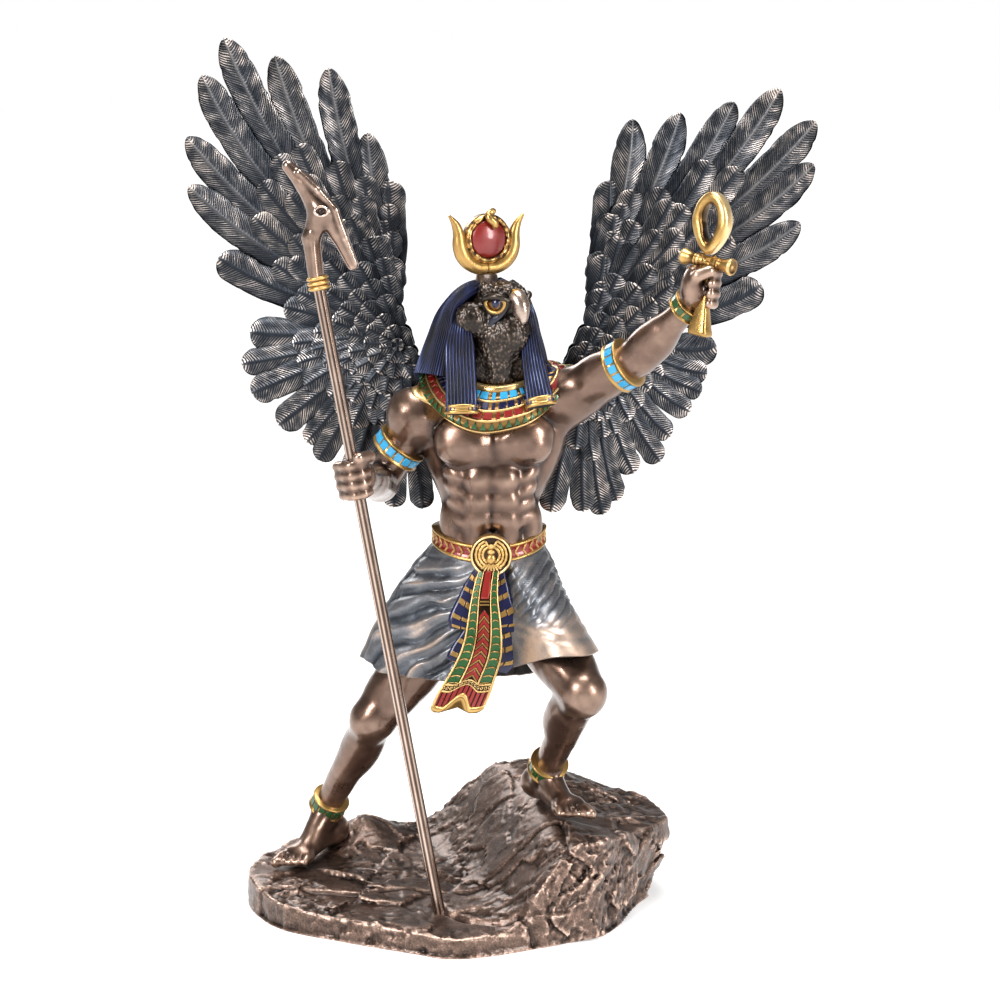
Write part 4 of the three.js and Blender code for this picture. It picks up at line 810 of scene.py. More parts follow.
def make_wig():
    """Fine strands fall from the crown of the head, round the back, to a hem on the shoulders"""
    strand_count, per_strand, levels = 58, 8, 64
    columns = strand_count * per_strand + 1
    rings = np.stack([through(ring, columns) for ring in WIG_RINGS], 1)
    surface = np.stack([through(profile, levels) for profile in rings], 1)
    across = np.gradient(surface, axis=1)
    normal = -unit(np.cross(across, np.gradient(surface, axis=0)))
    middle = vec((9, 2, 178))
    normal = normal * np.sign(((surface - middle) * normal).sum(-1, keepdims=True))
    a = np.arange(columns) / per_strand
    wander = 0.5 * grain(surface * (1, 1, 0.25), 6, 4)
    ridge = np.abs(np.sin(math.pi * (a[None, :] + wander)))
    proud = 0.75 + 0.5 * grain(surface * (1, 1, 0.3), 3, 12)
    outer = surface + normal * (0.95 * ridge * proud * np.linspace(0.4, 1, levels)[:, None])[..., None]
    inner = (surface - normal * 1.3)[:, ::-1]
    tone = np.clip(0.02 + 0.72 * ridge ** 2 * proud + 0.3 * grain(surface * (1, 1, 0.4), 2.5, 9), 0, 1)
    shape = Shape()
    shape.add_grid(outer, 0, tone)
    # The inner shell is painted near black, as shade under the wig
    shape.add_grid(inner[::7, ::per_strand], 1, 0.4)
    edges = ((outer[:, 0], inner[:, -1]), (outer[:, -1], inner[:, 0]), (outer[-1], inner[-1][::-1]))
    for edge in edges:
        shape.add_grid(np.stack(edge), 0, 0.45)
    return shape.make("wig", [WIG, PAINTED_SHADE], recalc=False)


def make_lock(name, path, widths, thick, flutes):
    """A flat lock of fluted strands that hangs over the chest, in a gold end band"""
    count, across_count, back_count = 60, flutes * 6 + 1, 9
    line = through(path, count)
    wide = np.interp(np.linspace(0, 1, count), np.linspace(0, 1, len(widths)), widths)
    first, second = sideways(np.gradient(line, axis=0), (0, -1, 0))

    def spread(shares):
        return line[:, None] + second[:, None] * (shares * wide[:, None] / 2)[..., None]
    s = np.linspace(-1, 1, across_count)
    ridge = np.abs(np.sin((s + 1) / 2 * flutes * math.pi))
    bow = thick * np.sqrt(1 - 0.8 * s * s) + 0.62 * ridge
    front = spread(s) + first[:, None] * bow[None, :, None]
    back = spread(np.linspace(0.86, -0.86, back_count)) - first[:, None] * thick
    worn = 0.05 + (0.62 * ridge ** 2)[None] * (1 + 0.7 * grain(front * (1, 1, 0.35), 2.2, flutes))
    tone = np.clip(np.concatenate([worn, np.full((count, back_count), 0.3)], 1), 0, 1)
    shape = Shape()
    shape.add_grid(np.concatenate([front, back], 1), 0, tone, wrap_columns=True)
    # The gold end band stands proud, and its hollow underside is painted near black as shade
    along = unit(line[-1] - line[-4])
    half_width, half_depth = second[-1] * (wide[-1] / 2 + 0.35), first[-1] * (thick + 0.75)
    band = [(0.9, -2.1), (1.0, -2.0), (1.03, -1.3), (0.96, -1.1), (0.96, -0.3), (1.04, -0.1), (1.03, 0.7),
            (0.9, 0.8)]
    hollow = [(0.9, 0.8), (0.82, 0.2), (0.02, 0.1)]
    for rings, finish in ((band, 1), (hollow, 2)):
        ends = turned(rings, circle(48), line[-1], half_width, half_depth, along)
        shape.add_grid(ends, finish, wrap_columns=True)
    return shape.make(name, [WIG, GOLD, PAINTED_SHADE])


# Jewelled surfaces

COLLAR_RIM = [
    (-14.3, 6, 166.5), (-10, -6, 158.7), (-5, -12, 155.1), (2.7, -15, 151.8), (9.5, -16, 151.3),
    (19.1, -15, 153.5), (24.4, -12, 156), (28.8, -7, 159.3), (31.6, 0, 165.6), (31.3, 7, 170),
    (23, 13.5, 169), (11, 16, 165.5), (-2, 14.5, 163.5), (-11.5, 11.5, 165),
]
COLLAR_THROAT = [
    (1.6, -0.5, 167.4), (3.4, -5.6, 166.4), (6, -9, 165.8), (9, -10.8, 165.4), (12.4, -11.4, 165.4),
    (16.4, -10.4, 166), (19.4, -7.6, 166.8), (21, -3.6, 168), (21.4, 0.6, 169), (20, 5.4, 170),
    (16.4, 8.6, 170.4), (11.4, 9.8, 169.6), (6.4, 8.4, 168.8), (2.8, 4.4, 168.2),
]


def collar_place_grid():
    """The collar's surface from rim to throat, pushed out wherever the body stands higher"""
    count, levels = 180, 17
    rim = around(COLLAR_RIM, count)
    throat = around(COLLAR_THROAT, count)
    throat_turn = np.arctan2(throat[:, 1] + 0.5, throat[:, 0] - 11.4)
    turn = np.arctan2(rim[:, 1], (rim[:, 0] - 9.5) * 0.75)
    order = np.argsort(throat_turn)
    throat = np.stack([
        np.interp(turn, throat_turn[order], throat[order, k], period=TAU) for k in range(3)], -1)
    shares = np.linspace(0, 1, levels)
    grid = rim[:, None] * (1 - shares[None, :, None]) + throat[:, None] * shares[None, :, None]
    grid = grid + unit(grid - COLLAR_HEART) * (1.0 * np.sin(math.pi * shares))[None, :, None]
    for i in range(count):
        for j in range(levels - 3):
            direction = unit(grid[i, j] - COLLAR_HEART)
            hit = body_tree.ray_cast(Vector(COLLAR_HEART + direction * 40), Vector(-direction))[0]
            if hit is not None:
                planned = (grid[i, j] - COLLAR_HEART) @ direction
                far = min((np.array(hit) - COLLAR_HEART) @ direction, planned + 3, 33)
                far = max(far, planned) if j > 0 else far
                grid[i, j] = COLLAR_HEART + direction * far
    for _ in range(4):
        grid = (np.roll(grid, 1, 0) + 2 * grid + np.roll(grid, -1, 0)) / 4
    grid[:, 1:-1] = (grid[:, :-2] + 2 * grid[:, 1:-1] + grid[:, 2:]) / 4
    grid = np.concatenate([grid, grid[:1]])
    return grid, unit(grid - COLLAR_HEART + (0, 0, 3))


def on_grid(grid, u, v):
    """Bilinear lookup, with u and v from 0 to 1"""
    rows, columns = grid.shape[0] - 1, grid.shape[1] - 1
    a, b = np.mod(vec(u), 1) * rows, np.clip(v, 0, 1) * columns
    i, j = np.minimum(a.astype(int), rows - 1), np.minimum(b.astype(int), columns - 1)
    s, t = (a - i)[..., None], (b - j)[..., None]
    return ((grid[i, j] * (1 - s) + grid[i + 1, j] * s) * (1 - t)
            + (grid[i, j + 1] * (1 - s) + grid[i + 1, j + 1] * s) * t)


def make_collar():
    """Gold rims and ridges, with a row of green triangles and three rows of coloured tiles between them"""
    grid, normal = collar_place_grid()

    def place(u, v, height):
        u, v = np.broadcast_arrays(vec(u), vec(v))
        return on_grid(grid, u, v) + on_grid(normal, u, v) * (height + 0.2)
    shape = Shape()
    heights = [(-0.01, -1.5), (0.0, 0.5), (0.015, 1.0), (0.06, 1.0), (0.075, 0.45), (0.255, 0.45),
               (0.265, 0.8), (0.29, 0.8), (0.3, 0.45), (0.445, 0.45), (0.455, 0.8), (0.48, 0.8),
               (0.49, 0.45), (0.635, 0.45), (0.645, 0.8), (0.67, 0.8), (0.68, 0.45), (0.85, 0.45),
               (0.865, 0.9), (0.93, 1.0), (0.99, 0.9), (1.0, -1.0)]
    around_count = 360
    turns = np.arange(around_count) / around_count
    base = np.stack([place(turns, np.full(around_count, v), h) for v, h in heights])
    tone = np.repeat([0.7 if h > 0.7 else 0.31 for _, h in heights], around_count)
    shape.add_grid(base, 0, tone, wrap_columns=True)
    count = 50
    for n in range(count):
        middle, half = (n + 0.5) / count, 0.5 / count
        triangle = [(middle - half * 0.72, 0.1), (middle + half * 0.72, 0.1), (middle, 0.24)]
        rounded_tile(shape, place, triangle, 1, 0.4, 0.75)

    def row(number, low, high, share, finish):
        for n in range(number):
            middle, half = (n + 0.5) / number, 0.5 / number
            # Every third tile is a narrow one
            half *= share * (0.45 if n % 3 == 2 else 1)
            rounded_tile(shape, place, box_of(middle - half, middle + half, low, high), finish, 0.4, 0.78)
    row(38, 0.31, 0.435, 0.84, 2)
    row(40, 0.5, 0.625, 0.84, 3)
    row(30, 0.69, 0.84, 0.8, 4)
    return shape.make("collar", [GOLD, GREEN, RED, NAVY, TURQUOISE])


def belt_place(turn, v, height):
    """v runs from -0.5 at the belt's lower edge to 0.5 at its upper edge"""
    front = np.maximum(0, -np.sin(turn))
    z = 120 - 5.4 * front ** 1.6 + v * 5.2 - 1.5 * np.abs(np.cos(turn))
    return np.stack([8.6 + (16.7 + height) * np.cos(turn), 0.4 + (12.4 + height) * np.sin(turn), z], -1)


def make_belt():
    """A gold-edged belt, with red chevrons that point along both sides towards the medallion"""
    shape = Shape()
    count, around_count = 38, 240
    section = mirrored([(0.5, -2.5), (0.5, 0.9), (0.46, 1.15), (0.37, 1.15), (0.33, 0.7)])
    turn = circle(around_count)
    grid = np.stack([belt_place(turn, np.full(around_count, v), h) for v, h in section])
    is_sunken = np.repeat([0] * 4 + [1] + [0] * 4, around_count)
    shape.add(grid, grid_faces(len(section), around_count, wrap_columns=True), is_sunken)
    for n in range(count):
        middle, half = (n + 0.5) / count * TAU, 0.5 / count * TAU
        # The medallion lies at three quarters of a turn
        toward = 1 if math.cos(middle) < 0 else -1
        for lift in (-1, 1):
            bar = [(middle + half * 0.5 * toward, 0), (middle - half * 0.4 * toward, 0.33 * lift),
                   (middle - half * 0.85 * toward, 0.33 * lift), (middle + half * 0.05 * toward, 0)]
            rounded_tile(shape, belt_place, bar[::-toward], 0, 0.5, 1.0)
    return shape.make("belt", [GOLD, RED])


def make_medallion():
    """A gold disc with a rim, and a winged beetle in relief on it"""
    shape = Shape()
    count = 64
    rings = [(6.3, -3), (6.3, 1.0), (6.1, 1.35), (5.75, 1.35), (5.5, 0.8), (5.4, 0.7), (0.05, 0.7)]
    tones = [0.5, 0.5, 0.75, 0.75, 0.1, 0.1, 0.16]
    disc = turned(rings, circle(count), MEDALLION, along=(0, -1, 0))
    shape.add_grid(disc, 0, np.repeat(tones, count), wrap_columns=True)
    beetle = [
        pebble((0, 0, -0.9), (1.3, 1.1, 1.5), 0.3), pebble((0, 0, 1.1), (1.1, 1.0, 0.75), 0.2),
        pebble((0, 0, 2.6), (0.75, 0.7, 0.7), 0.2),
    ]
    for side in (-1, 1):
        beetle.append(limb((side * 0.5, 0, 2.2), (side * 1.5, 0, 3.9), 0.34, 0.28, 0.1))
        for n in range(3):
            reach = 2.3 + 0.95 * n
            arc = [(side * reach * math.cos(a), 0.1, reach * math.sin(a) + 0.2)
                   for a in np.linspace(-1.0, 1.1, 7)]
            beetle += [limb(a, b, 0.4, 0.36, 0.1) for a, b in zip(arc, arc[1:])]
    for n in range(-3, 4):
        beetle.append(limb((0.42 * n, 0, -2.5), (0.85 * n, 0, -4.3 + 0.1 * n * n), 0.26, 0.3, 0.06))
    field, low = field_of(beetle, BEETLE_CELL)
    points, quads = skin(field, low, BEETLE_CELL)
    placed = points * (1.12, 1, 1.12) + MEDALLION - (0, 0.9, 0)
    shape.add(placed, quads, 0, relief_of(points, quads, 0.25, 5))
    return shape.make("medallion", [GOLD], recalc=False)


def make_band(name, centre, axis, radius, width, columns, finish):
    """A gold-edged band round a limb, with one row of enamel tiles"""
    along = unit(axis)
    first, second = sideways(axis)

    def place(turn, v, height):
        out = first * np.cos(turn)[..., None] + second * np.sin(turn)[..., None]
        return vec(centre) + along * (v * width)[..., None] + out * (radius + height)
    shape = Shape()
    count = 96
    section = mirrored([(0.5, -1.2), (0.5, 0.9), (0.47, 1.1), (0.38, 1.1), (0.34, 0.55)])
    grid = np.stack([place(circle(count), np.full(count, v), h) for v, h in section])
    shape.add_grid(grid, 0, wrap_columns=True)
    for n in range(columns):
        middle, half = (n + 0.5) / columns * TAU, 0.78 * 0.5 / columns * TAU
        rounded_tile(shape, place, box_of(middle - half, middle + half, -0.27, 0.27), 1, 0.4, 0.85)
    return shape.make(name, [GOLD, finish])


# The kilt and the sash

HEM = [
    (3, -20, 77.5), (15, -21.5, 81), (27, -34.5, 87.4), (38, -34, 88), (42, -22, 86.5), (37.5, -6, 80),
    (25, 11, 72), (8, 16.5, 69), (-13, 14.5, 72), (-27, 8, 78), (-31, -2, 80), (-25, -11, 77.5),
    (-10, -17.5, 76.5),
]
# The folds on the right thigh run towards this x and z
FOLD_HEART = (48, 121)


def kilt_folds(p, turn):
    """Height of the folds, and how much the cloth over the forward thigh is painted copper as a highlight"""
    x, z = p[:, 0], p[:, 2]
    front = smooth(0.5 - np.sin(turn) * 1.4)
    left = smooth((MEDALLION[0] + 4 - x) / 8)
    wander = 0.8 * grain(p, 11, 2) + 0.3 * grain(p, 4, 5)
    # On the right thigh the folds run almost level, towards the far hip
    fan = np.arctan2(FOLD_HEART[1] - z, FOLD_HEART[0] - x)
    sweep_folds = 0.8 * np.sin(fan * 74 + wander * 2.6) + 0.26 * np.sin(fan * 190 + wander * 4)
    # Below the left hip the cloth is crumpled, and it lies smooth over the forward thigh
    crumple = smooth((z - 93) / 8)
    slant = 0.77 * x - 0.64 * z
    creases = 0.42 * np.sin(slant * 2.5 + wander * 3) + 0.3 * np.sin(slant * 5.1 + wander * 5)
    level = 0.3 * np.sin((z + 0.12 * x) * 1.9 + wander * 2) * smooth((100 - z) / 4) * smooth((z - 88) / 5)
    hanging = np.sin(turn * 15 + wander) + 0.4 * np.sin(turn * 45 + wander * 2)
    in_front = left * sweep_folds + (1 - left) * (creases * crumple + level * (1 - crumple))
    # The smooth forward thigh is painted copper, as a highlight
    thigh_highlight = (1 - left) * (1 - crumple) * front * smooth((x - 12) / 10)
    under_sash = 0.6 * np.exp(-((x - 7) / 9) ** 4)
    return in_front * front * (1 - under_sash) + 0.9 * hanging * (1 - front), thigh_highlight


def make_kilt():
    """A wrap from the belt to an uneven hem, with a thick lip and an inside painted near black as shade"""
    steps, levels = 600, 66
    hem = around(HEM, steps)
    turn = np.arctan2(hem[:, 1] + 3, (hem[:, 0] - 6) * 0.5)
    start = belt_place(turn, np.zeros(steps), np.full(steps, -0.4)) - (0, 0, 1.5)
    flat = unit(np.column_stack([hem[:, 0] - 7, (hem[:, 1] + 2) * 1.5, np.zeros(steps)]))

    def layer(t, inset):
        p = mix(start, hem, t)
        fold, thigh_highlight = kilt_folds(p, turn)
        crease = rough(p, 5, 3, 3) * 0.25
        height = (fold + crease) * smooth(t * 4 + 0.15) * (1 - 0.3 * thigh_highlight)
        return p + flat * (2.2 * math.sin(math.pi * t) + height - inset)[:, None], height, thigh_highlight
    rows = [layer(t, 0) for t in np.linspace(0, 1, levels)]
    grid, height, thigh_highlight = (np.stack([row[k] for row in rows]) for k in range(3))
    tone = np.clip(0.47 + 0.2 * height + 0.3 * thigh_highlight + 0.12 * grain(grid, 7, 15), 0, 1)
    shape = Shape()
    shape.add_grid(grid, 0, tone, wrap_columns=True)
    lip = np.stack([layer(1, inset)[0] - (0, 0, drop) for inset, drop in (
        (0, 0), (0.25, 0.35), (0.9, 0.35), (1.3, 0))])
    shape.add_grid(lip, 0, 0.75, wrap_columns=True)
    inner = np.stack([layer(t, 1.3)[0] for t in (1, 0.9, 0.8, 0.7, 0.6, 0.5)])
    shape.add_grid(inner, 1, wrap_columns=True)
    return shape.make("kilt", [KILT, PAINTED_SHADE])


def strip_place(left, right, rows=90):
    """Cloth between two edges. u runs down it from 0 to 1, and v across it from the left, 0, to 1."""
    left, right = through(left, rows), through(right, rows)
    out = unit(np.cross(np.gradient(left + right, axis=0), right - left))

    def place(u, v, height):
        u, v = np.broadcast_arrays(vec(u), vec(v))
        at = np.clip(u, 0, 1) * (rows - 1)
        a, b, off = (
            np.stack([np.interp(at, np.arange(rows), part[:, k]) for k in range(3)], -1)
            for part in (left, right, out))
        bow = 0.5 * np.sin(math.pi * v)
        return a * (1 - v)[..., None] + b * v[..., None] + off * (bow + height)[..., None]
    return place


def cloth(shape, place, finish, tone, thick, steps=(70, 25)):
    u, v = np.meshgrid(np.linspace(0, 1, steps[0]), np.linspace(0, 1, steps[1]), indexing="ij")
    both = np.concatenate([place(u, v, thick), place(u, v[:, ::-1], -thick)], 1)
    shape.add_grid(both, finish, tone, wrap_columns=True, capped=True)


def strip_tile(shape, place, low_u, high_u, low_v, high_v, finish, low, high, slant=0.0, arch=0.0):
    """A tile from side to side of its strip. Slant lowers its far side, and arch lowers its ends."""
    s = np.linspace(0, 1, 7)
    lowered = slant * s + arch * (2 * s - 1) ** 2
    v = low_v + (high_v - low_v) * s
    edge = [*zip(low_u + lowered, v), *zip((high_u + lowered)[::-1], v[::-1])]
    rounded_tile(shape, place, edge, finish, low, high)


def ribbon(shape, place, u, v, wide, finish, low, high):
    """A raised line that follows u and v"""
    u, v = vec(u), vec(v)
    half = wide / 2
    section = ((-1, low), (-1, high - 0.1), (-0.5, high), (0.5, high), (1, high - 0.1), (1, low))
    shape.add_grid(np.stack([place(u, v + half * share, height) for share, height in section]), finish, 0.65)


def make_under_sash(shape):
    """Navy cloth in two tiers that show on both sides of the sash, with rows of slanted gold dashes"""
    tiers = [
        ([(2.0, -19.2, 95), (0.2, -20, 91.6), (-2.4, -20.8, 88), (-4.1, -21.4, 84.2), (-1.8, -21.6, 82.6)],
         [(14.6, -19.2, 95), (15.8, -20, 91), (16.6, -20.8, 87), (16.9, -21.6, 82.6), (14.0, -22, 79.4)], 4),
        ([(4.2, -14.8, 110), (1.2, -16.6, 106), (-0.8, -18, 102), (-3.5, -19.6, 96.6), (-3.3, -20.4, 93)],
         [(13.4, -14.8, 110), (14.5, -16.6, 105.5), (16.0, -18.2, 100.1), (18.4, -19.8, 94.4),
          (16.8, -20.6, 91.8)], 5),
    ]
    # From side to side: where a dash starts and ends, its slant, and how much lower it hangs
    dashes = [
        (0.04, 0.16, 0.05, 0.05), (0.18, 0.29, 0.05, 0.1),
        (0.71, 0.82, -0.05, 0.0), (0.84, 0.96, -0.05, -0.05),
    ]
    for left, right, rows in tiers:
        place = strip_place(left, right, 50)
        cloth(shape, place, 3, 0.55, 0.55, (40, 17))
        for n in range(rows):
            u = (n + 0.2) / rows
            for low_v, high_v, slant, drop in dashes:
                strip_tile(shape, place, u + drop, u + drop + 0.34 / rows, low_v, high_v, 0, 0.4, 0.95, slant)


def make_sash():
    """The long sash: green scales on both sides of a red middle, a row of beads, and a forked fringe"""
    flat_place = strip_place(
        [(5.4, -16, 109.6), (4.0, -17.8, 105), (3.0, -19.4, 100.5), (2.1, -21, 95.1), (1.0, -22.2, 89.5),
         (-1.0, -23.2, 84.2), (-4.3, -24.2, 78.3), (-7.2, -25, 73.6), (-9.6, -25.6, 68.2)],
        [(11.7, -16, 109.6), (11.4, -17.8, 105), (11.6, -19.4, 100.5), (12.3, -21, 95.1), (12.7, -22.2, 89.5),
         (12.4, -23.2, 84.2), (10.6, -24.2, 78.3), (9.0, -25, 73.6), (6.4, -25.6, 67.9)])

    def main(u, v, height):
        """The end of the sash is cut out in an arch"""
        u, v = np.broadcast_arrays(vec(u), vec(v))
        arch = np.clip(np.sin(math.pi * np.clip((v - 0.2) / 0.56, 0, 1)), 0, 1) ** 1.5
        corner = 0.03 * (2 * v - 1) ** 8
        return flat_place(u * (1 - (0.105 * arch + corner) * smooth((u - 0.6) / 0.4)), v, height)
    shape = Shape()
    make_under_sash(shape)
    cloth(shape, main, 0, 0.1, 0.7)
    line = np.linspace(0, 0.8, 60)
    for v in (0.025, 0.975):
        ribbon(shape, main, np.linspace(0, 0.98, 70), np.full(70, v), 0.05, 0, 0.3, 1.45)

    def inner_line(u):
        """Where the gold line beside the scales lies, as a share of the sash's width"""
        return np.interp(u, [0, 0.25, 1], [0.27, 0.29, 0.33])
    for v in (inner_line(line), 1 - inner_line(line) * 0.98):
        ribbon(shape, main, line, v, 0.035, 0, 0.3, 1.4)
    scales, scale_end = 15, 0.78
    for side in (0, 1):
        for n in range(scales):
            low_u, high_u = (n + 0.08) / scales * scale_end, (n + 0.86) / scales * scale_end
            inner = float(inner_line(low_u)) - 0.03
            span = (0.06, inner) if side == 0 else (1 - inner, 0.94)
            strip_tile(shape, main, low_u, high_u, *span, 2, 0.3, 1.25, 0.0, 0.012)
            strip_tile(shape, main, high_u + 0.002, high_u + 0.008, *span, 0, 0.3, 1.2, 0.0, 0.012)
    rounded_tile(shape, main, [(0.0, 0.36), (0.0, 0.64), (0.22, 0.66), (0.22, 0.34)], 1, 0.3, 1.1)
    for u in (0.235, 0.258):
        strip_tile(shape, main, u, u + 0.011, 0.33, 0.67, 0, 0.3, 1.35)
    chevrons = 8
    for n in range(chevrons):
        u = 0.31 + n * 0.058
        for finish, low_u, high_u in ((1, u, u + 0.032), (0, u + 0.038, u + 0.05)):
            for side in (-1, 1):
                box = [(low_u + 0.03, 0.5 + side * 0.15), (low_u - 0.012, 0.5), (high_u - 0.012, 0.5),
                       (high_u + 0.03, 0.5 + side * 0.15)]
                rounded_tile(shape, main, box, finish, 0.3, 1.2)
    # A row of beads under the scales, then red tongues between gold ribs
    turn = circle(10)
    beads = 13
    for v in np.linspace(0.06, 0.94, beads):
        ring = np.stack([main(0.825 + 0.012 * np.cos(turn) * share, v + 0.026 * np.sin(turn) * share, high)
                         for share, high in ((1.2, 0.4), (1.15, 1.2), (0.9, 1.4), (0.6, 1.2), (0.5, 0.5))])
        shape.add_grid(ring, 0, 0.7, wrap_columns=True)

    def cross_line(steps, v, relief):
        """A raised line from side to side, through the given u and heights"""
        rows = [main(np.full(len(v), u), v, high) for u, high in steps]
        shape.add_grid(np.stack(rows), 0, relief)
    for u in (0.8, 0.853):
        section = [(u - 0.007, 0.3), (u - 0.006, 1.3), (u + 0.006, 1.3), (u + 0.007, 0.3)]
        cross_line(section, np.linspace(0.03, 0.97, 40), 0.65)
    tongues = 11
    for n in range(tongues):
        v, half = (n + 0.5) / tongues, 0.36 / tongues
        tongue = [(0.862, v - half), (0.862, v + half), (0.958, v + half), (0.958, v - half)]
        rounded_tile(shape, main, tongue, 1, 0.3, 1.3)
    border = [(0.955, 0.3), (0.957, 1.3), (0.968, 1.75), (0.985, 1.8), (0.998, 1.3), (1.004, 0.4),
              (1.0, -0.8)]
    cross_line(border, np.linspace(0, 1, 80), 0.6)
    return shape.make("sash", [GOLD, RED, GREEN, NAVY])


# The crown, the ankh and the sceptre

def make_crown():
    """A sun disc in a beaded gold rim, between horns and behind a small snake, on a short stand"""
    shape = Shape()
    x, y, _ = DISC_MIDDLE
    turn = circle(64)
    stand = [(0.1, 192), (4.3, 192.4), (4.5, 195.4), (3.6, 196.2), (3.3, 198.6), (0.1, 199.4)]
    shape.add_grid(
        turned(stand, turn, (x, y, 0), (1, 0, 0), (0, 1, 0), (0, 0, 1)), 2, wrap_columns=True)
    horn = [(0.2, -8.9), (3.0, -8.7), (5.9, -7.2), (7.9, -4.8), (8.9, -1.9), (9.2, 1.3), (10.2, 4.3),
            (12.4, 7.2)]
    horn_girths = [1.8, 2.1, 2.3, 2.4, 2.2, 1.8, 1.3, 0.35]
    for side in (-1, 1):
        path = through([DISC_MIDDLE + (side * a, 0, up) for a, up in horn], 60)
        girth = np.interp(np.linspace(0, 1, 60), np.linspace(0, 1, len(horn)), horn_girths)
        shape.add_grid(sweep(path, girth, 20), 0, wrap_columns=True, capped=True)
    rim = vec([(7.0, 1.6), (7.5, 1.2), (7.5, -1.0), (7.3, -1.7), (6.9, -2.1), (6.4, -2.3), (6.0, -2.1),
               (5.8, -1.6), (5.7, -1.0)])
    place = turned(rim, circle(180), (0, 0, 0))
    notch = (grain(place, 0.8, 8) * (rim[:, 1] < -1.2)[:, None])[..., None]
    rows = DISC_MIDDLE + place * (1 + 0.03 * notch) + (0, 0.35, 0) * notch
    shape.add_grid(rows, 0, np.clip(0.36 + 0.5 * grain(rows, 0.8, 3), 0, 1), wrap_columns=True)
    behind = [(7.0, 1.6), (0.1, 1.9)]
    dome = [(5.75 * math.cos(a), -1.3 - 2.0 * math.sin(a)) for a in np.linspace(0, 1.56, 12)]
    for rings, finish, relief in ((behind, 0, 0.5), (dome, 1, 0.4)):
        shape.add_grid(turned(rings, turn, DISC_MIDDLE), finish, relief, wrap_columns=True)
    snake = through([DISC_MIDDLE + step for step in (
        (1.0, -3.6, 3.2), (0.9, -4.2, 4.6), (-0.6, -3.6, 6.2), (-0.6, -2.8, 7.6), (0.9, -2.6, 8.2),
        (0.2, -3.4, 9.0))], 50)
    girth = np.interp(np.linspace(0, 1, 50), [0, 0.12, 0.35, 0.6, 0.85, 1], [0.6, 1.0, 1.25, 0.9, 1.0, 0.3])
    shape.add_grid(sweep(snake, girth, 16), 0, wrap_columns=True, capped=True)
    # The crown looks the same way as the face, though less far round
    for part in shape.points:
        aside, ahead_of = part[:, 0] - x, part[:, 1] - y
        part[:, 0] = x + aside * math.cos(CROWN_TURN) - ahead_of * math.sin(CROWN_TURN)
        part[:, 1] = y + aside * math.sin(CROWN_TURN) + ahead_of * math.cos(CROWN_TURN)
    return shape.make("crown", [GOLD, RED, PLUMAGE])


def make_ankh():
    """A looped cross with flared arms and stem, and ties that cross over its middle"""
    shape = Shape()
    up, across = unit(ANKH_UP), unit(ANKH_ACROSS)
    outward = unit(np.cross(up, across))
    turn = np.linspace(0, TAU, 72, endpoint=False)
    taper = 1 - 0.35 * np.maximum(0, -np.sin(turn))
    out = across * (np.cos(turn) * taper)[:, None] + up * (np.sin(turn) * 1.66)[:, None]
    middle = ANKH_BAR + up * 11.2 + out * 4.4
    ring = circle(20)
    wide, deep = squared(ring, 0.7)
    loop = (middle[:, None] + unit(out)[:, None] * (wide * 1.9)[None, :, None]
            + outward * (deep * 2.3)[None, :, None])
    relief = 0.5 + 0.3 * np.broadcast_to(np.cos(ring), (72, 20)) + 0.15 * grain(loop, 2, 3)
    shape.add_grid(loop, 0, relief, wrap_rows=True, wrap_columns=True)
    arm = [(1.7, 0), (1.55, 2.6), (1.9, 3.0), (1.6, 3.5), (1.95, 4.0), (1.65, 4.5), (1.95, 6.5), (2.4, 7.6),
           (2.55, 8.3), (2.3, 8.8), (1.7, 8.8), (1.5, 8.5), (0.7, 8.5), (0.45, 8.75), (0.02, 8.75)]
    tones = [0.5, 0.4, 0.7, 0.25, 0.7, 0.25, 0.5, 0.6, 0.7, 0.6, 0.2, 0.2, 0.4, 0.7, 0.7]
    first, second = sideways(across, up)
    for side in (-1, 1):
        rings = turned(arm, turn[::2], ANKH_BAR, first, second, across * side)
        shape.add_grid(rings, 0, np.repeat(tones, 36), wrap_columns=True)
    for tilt in (-1, 1):
        corner = across * 2.2 * tilt + up * 1.8
        for face in (1, -1):
            lift = outward * face
            path = through([
                ANKH_BAR + corner - lift * 0.6, ANKH_BAR + lift * 1.9, ANKH_BAR - corner - lift * 0.6], 16)
            shape.add_grid(sweep(path, 0.55, 10), 0, wrap_columns=True)
    wide, deep = squared(circle(28), 0.45)
    steps = [(0, 1.5), (0.3, 1.4), (0.62, 1.9), (0.9, 3.0), (0.94, 3.3), (0.97, 3.3), (1.0, 3.1), (1.0, 0.05)]
    stem = np.stack([
        ANKH_BAR - up * ANKH_STEM * t + across * r * wide[:, None] + outward * r * 0.8 * deep[:, None]
        for t, r in steps])
    shape.add_grid(stem, 0, wrap_columns=True)
    return shape.make("ankh", [GOLD])


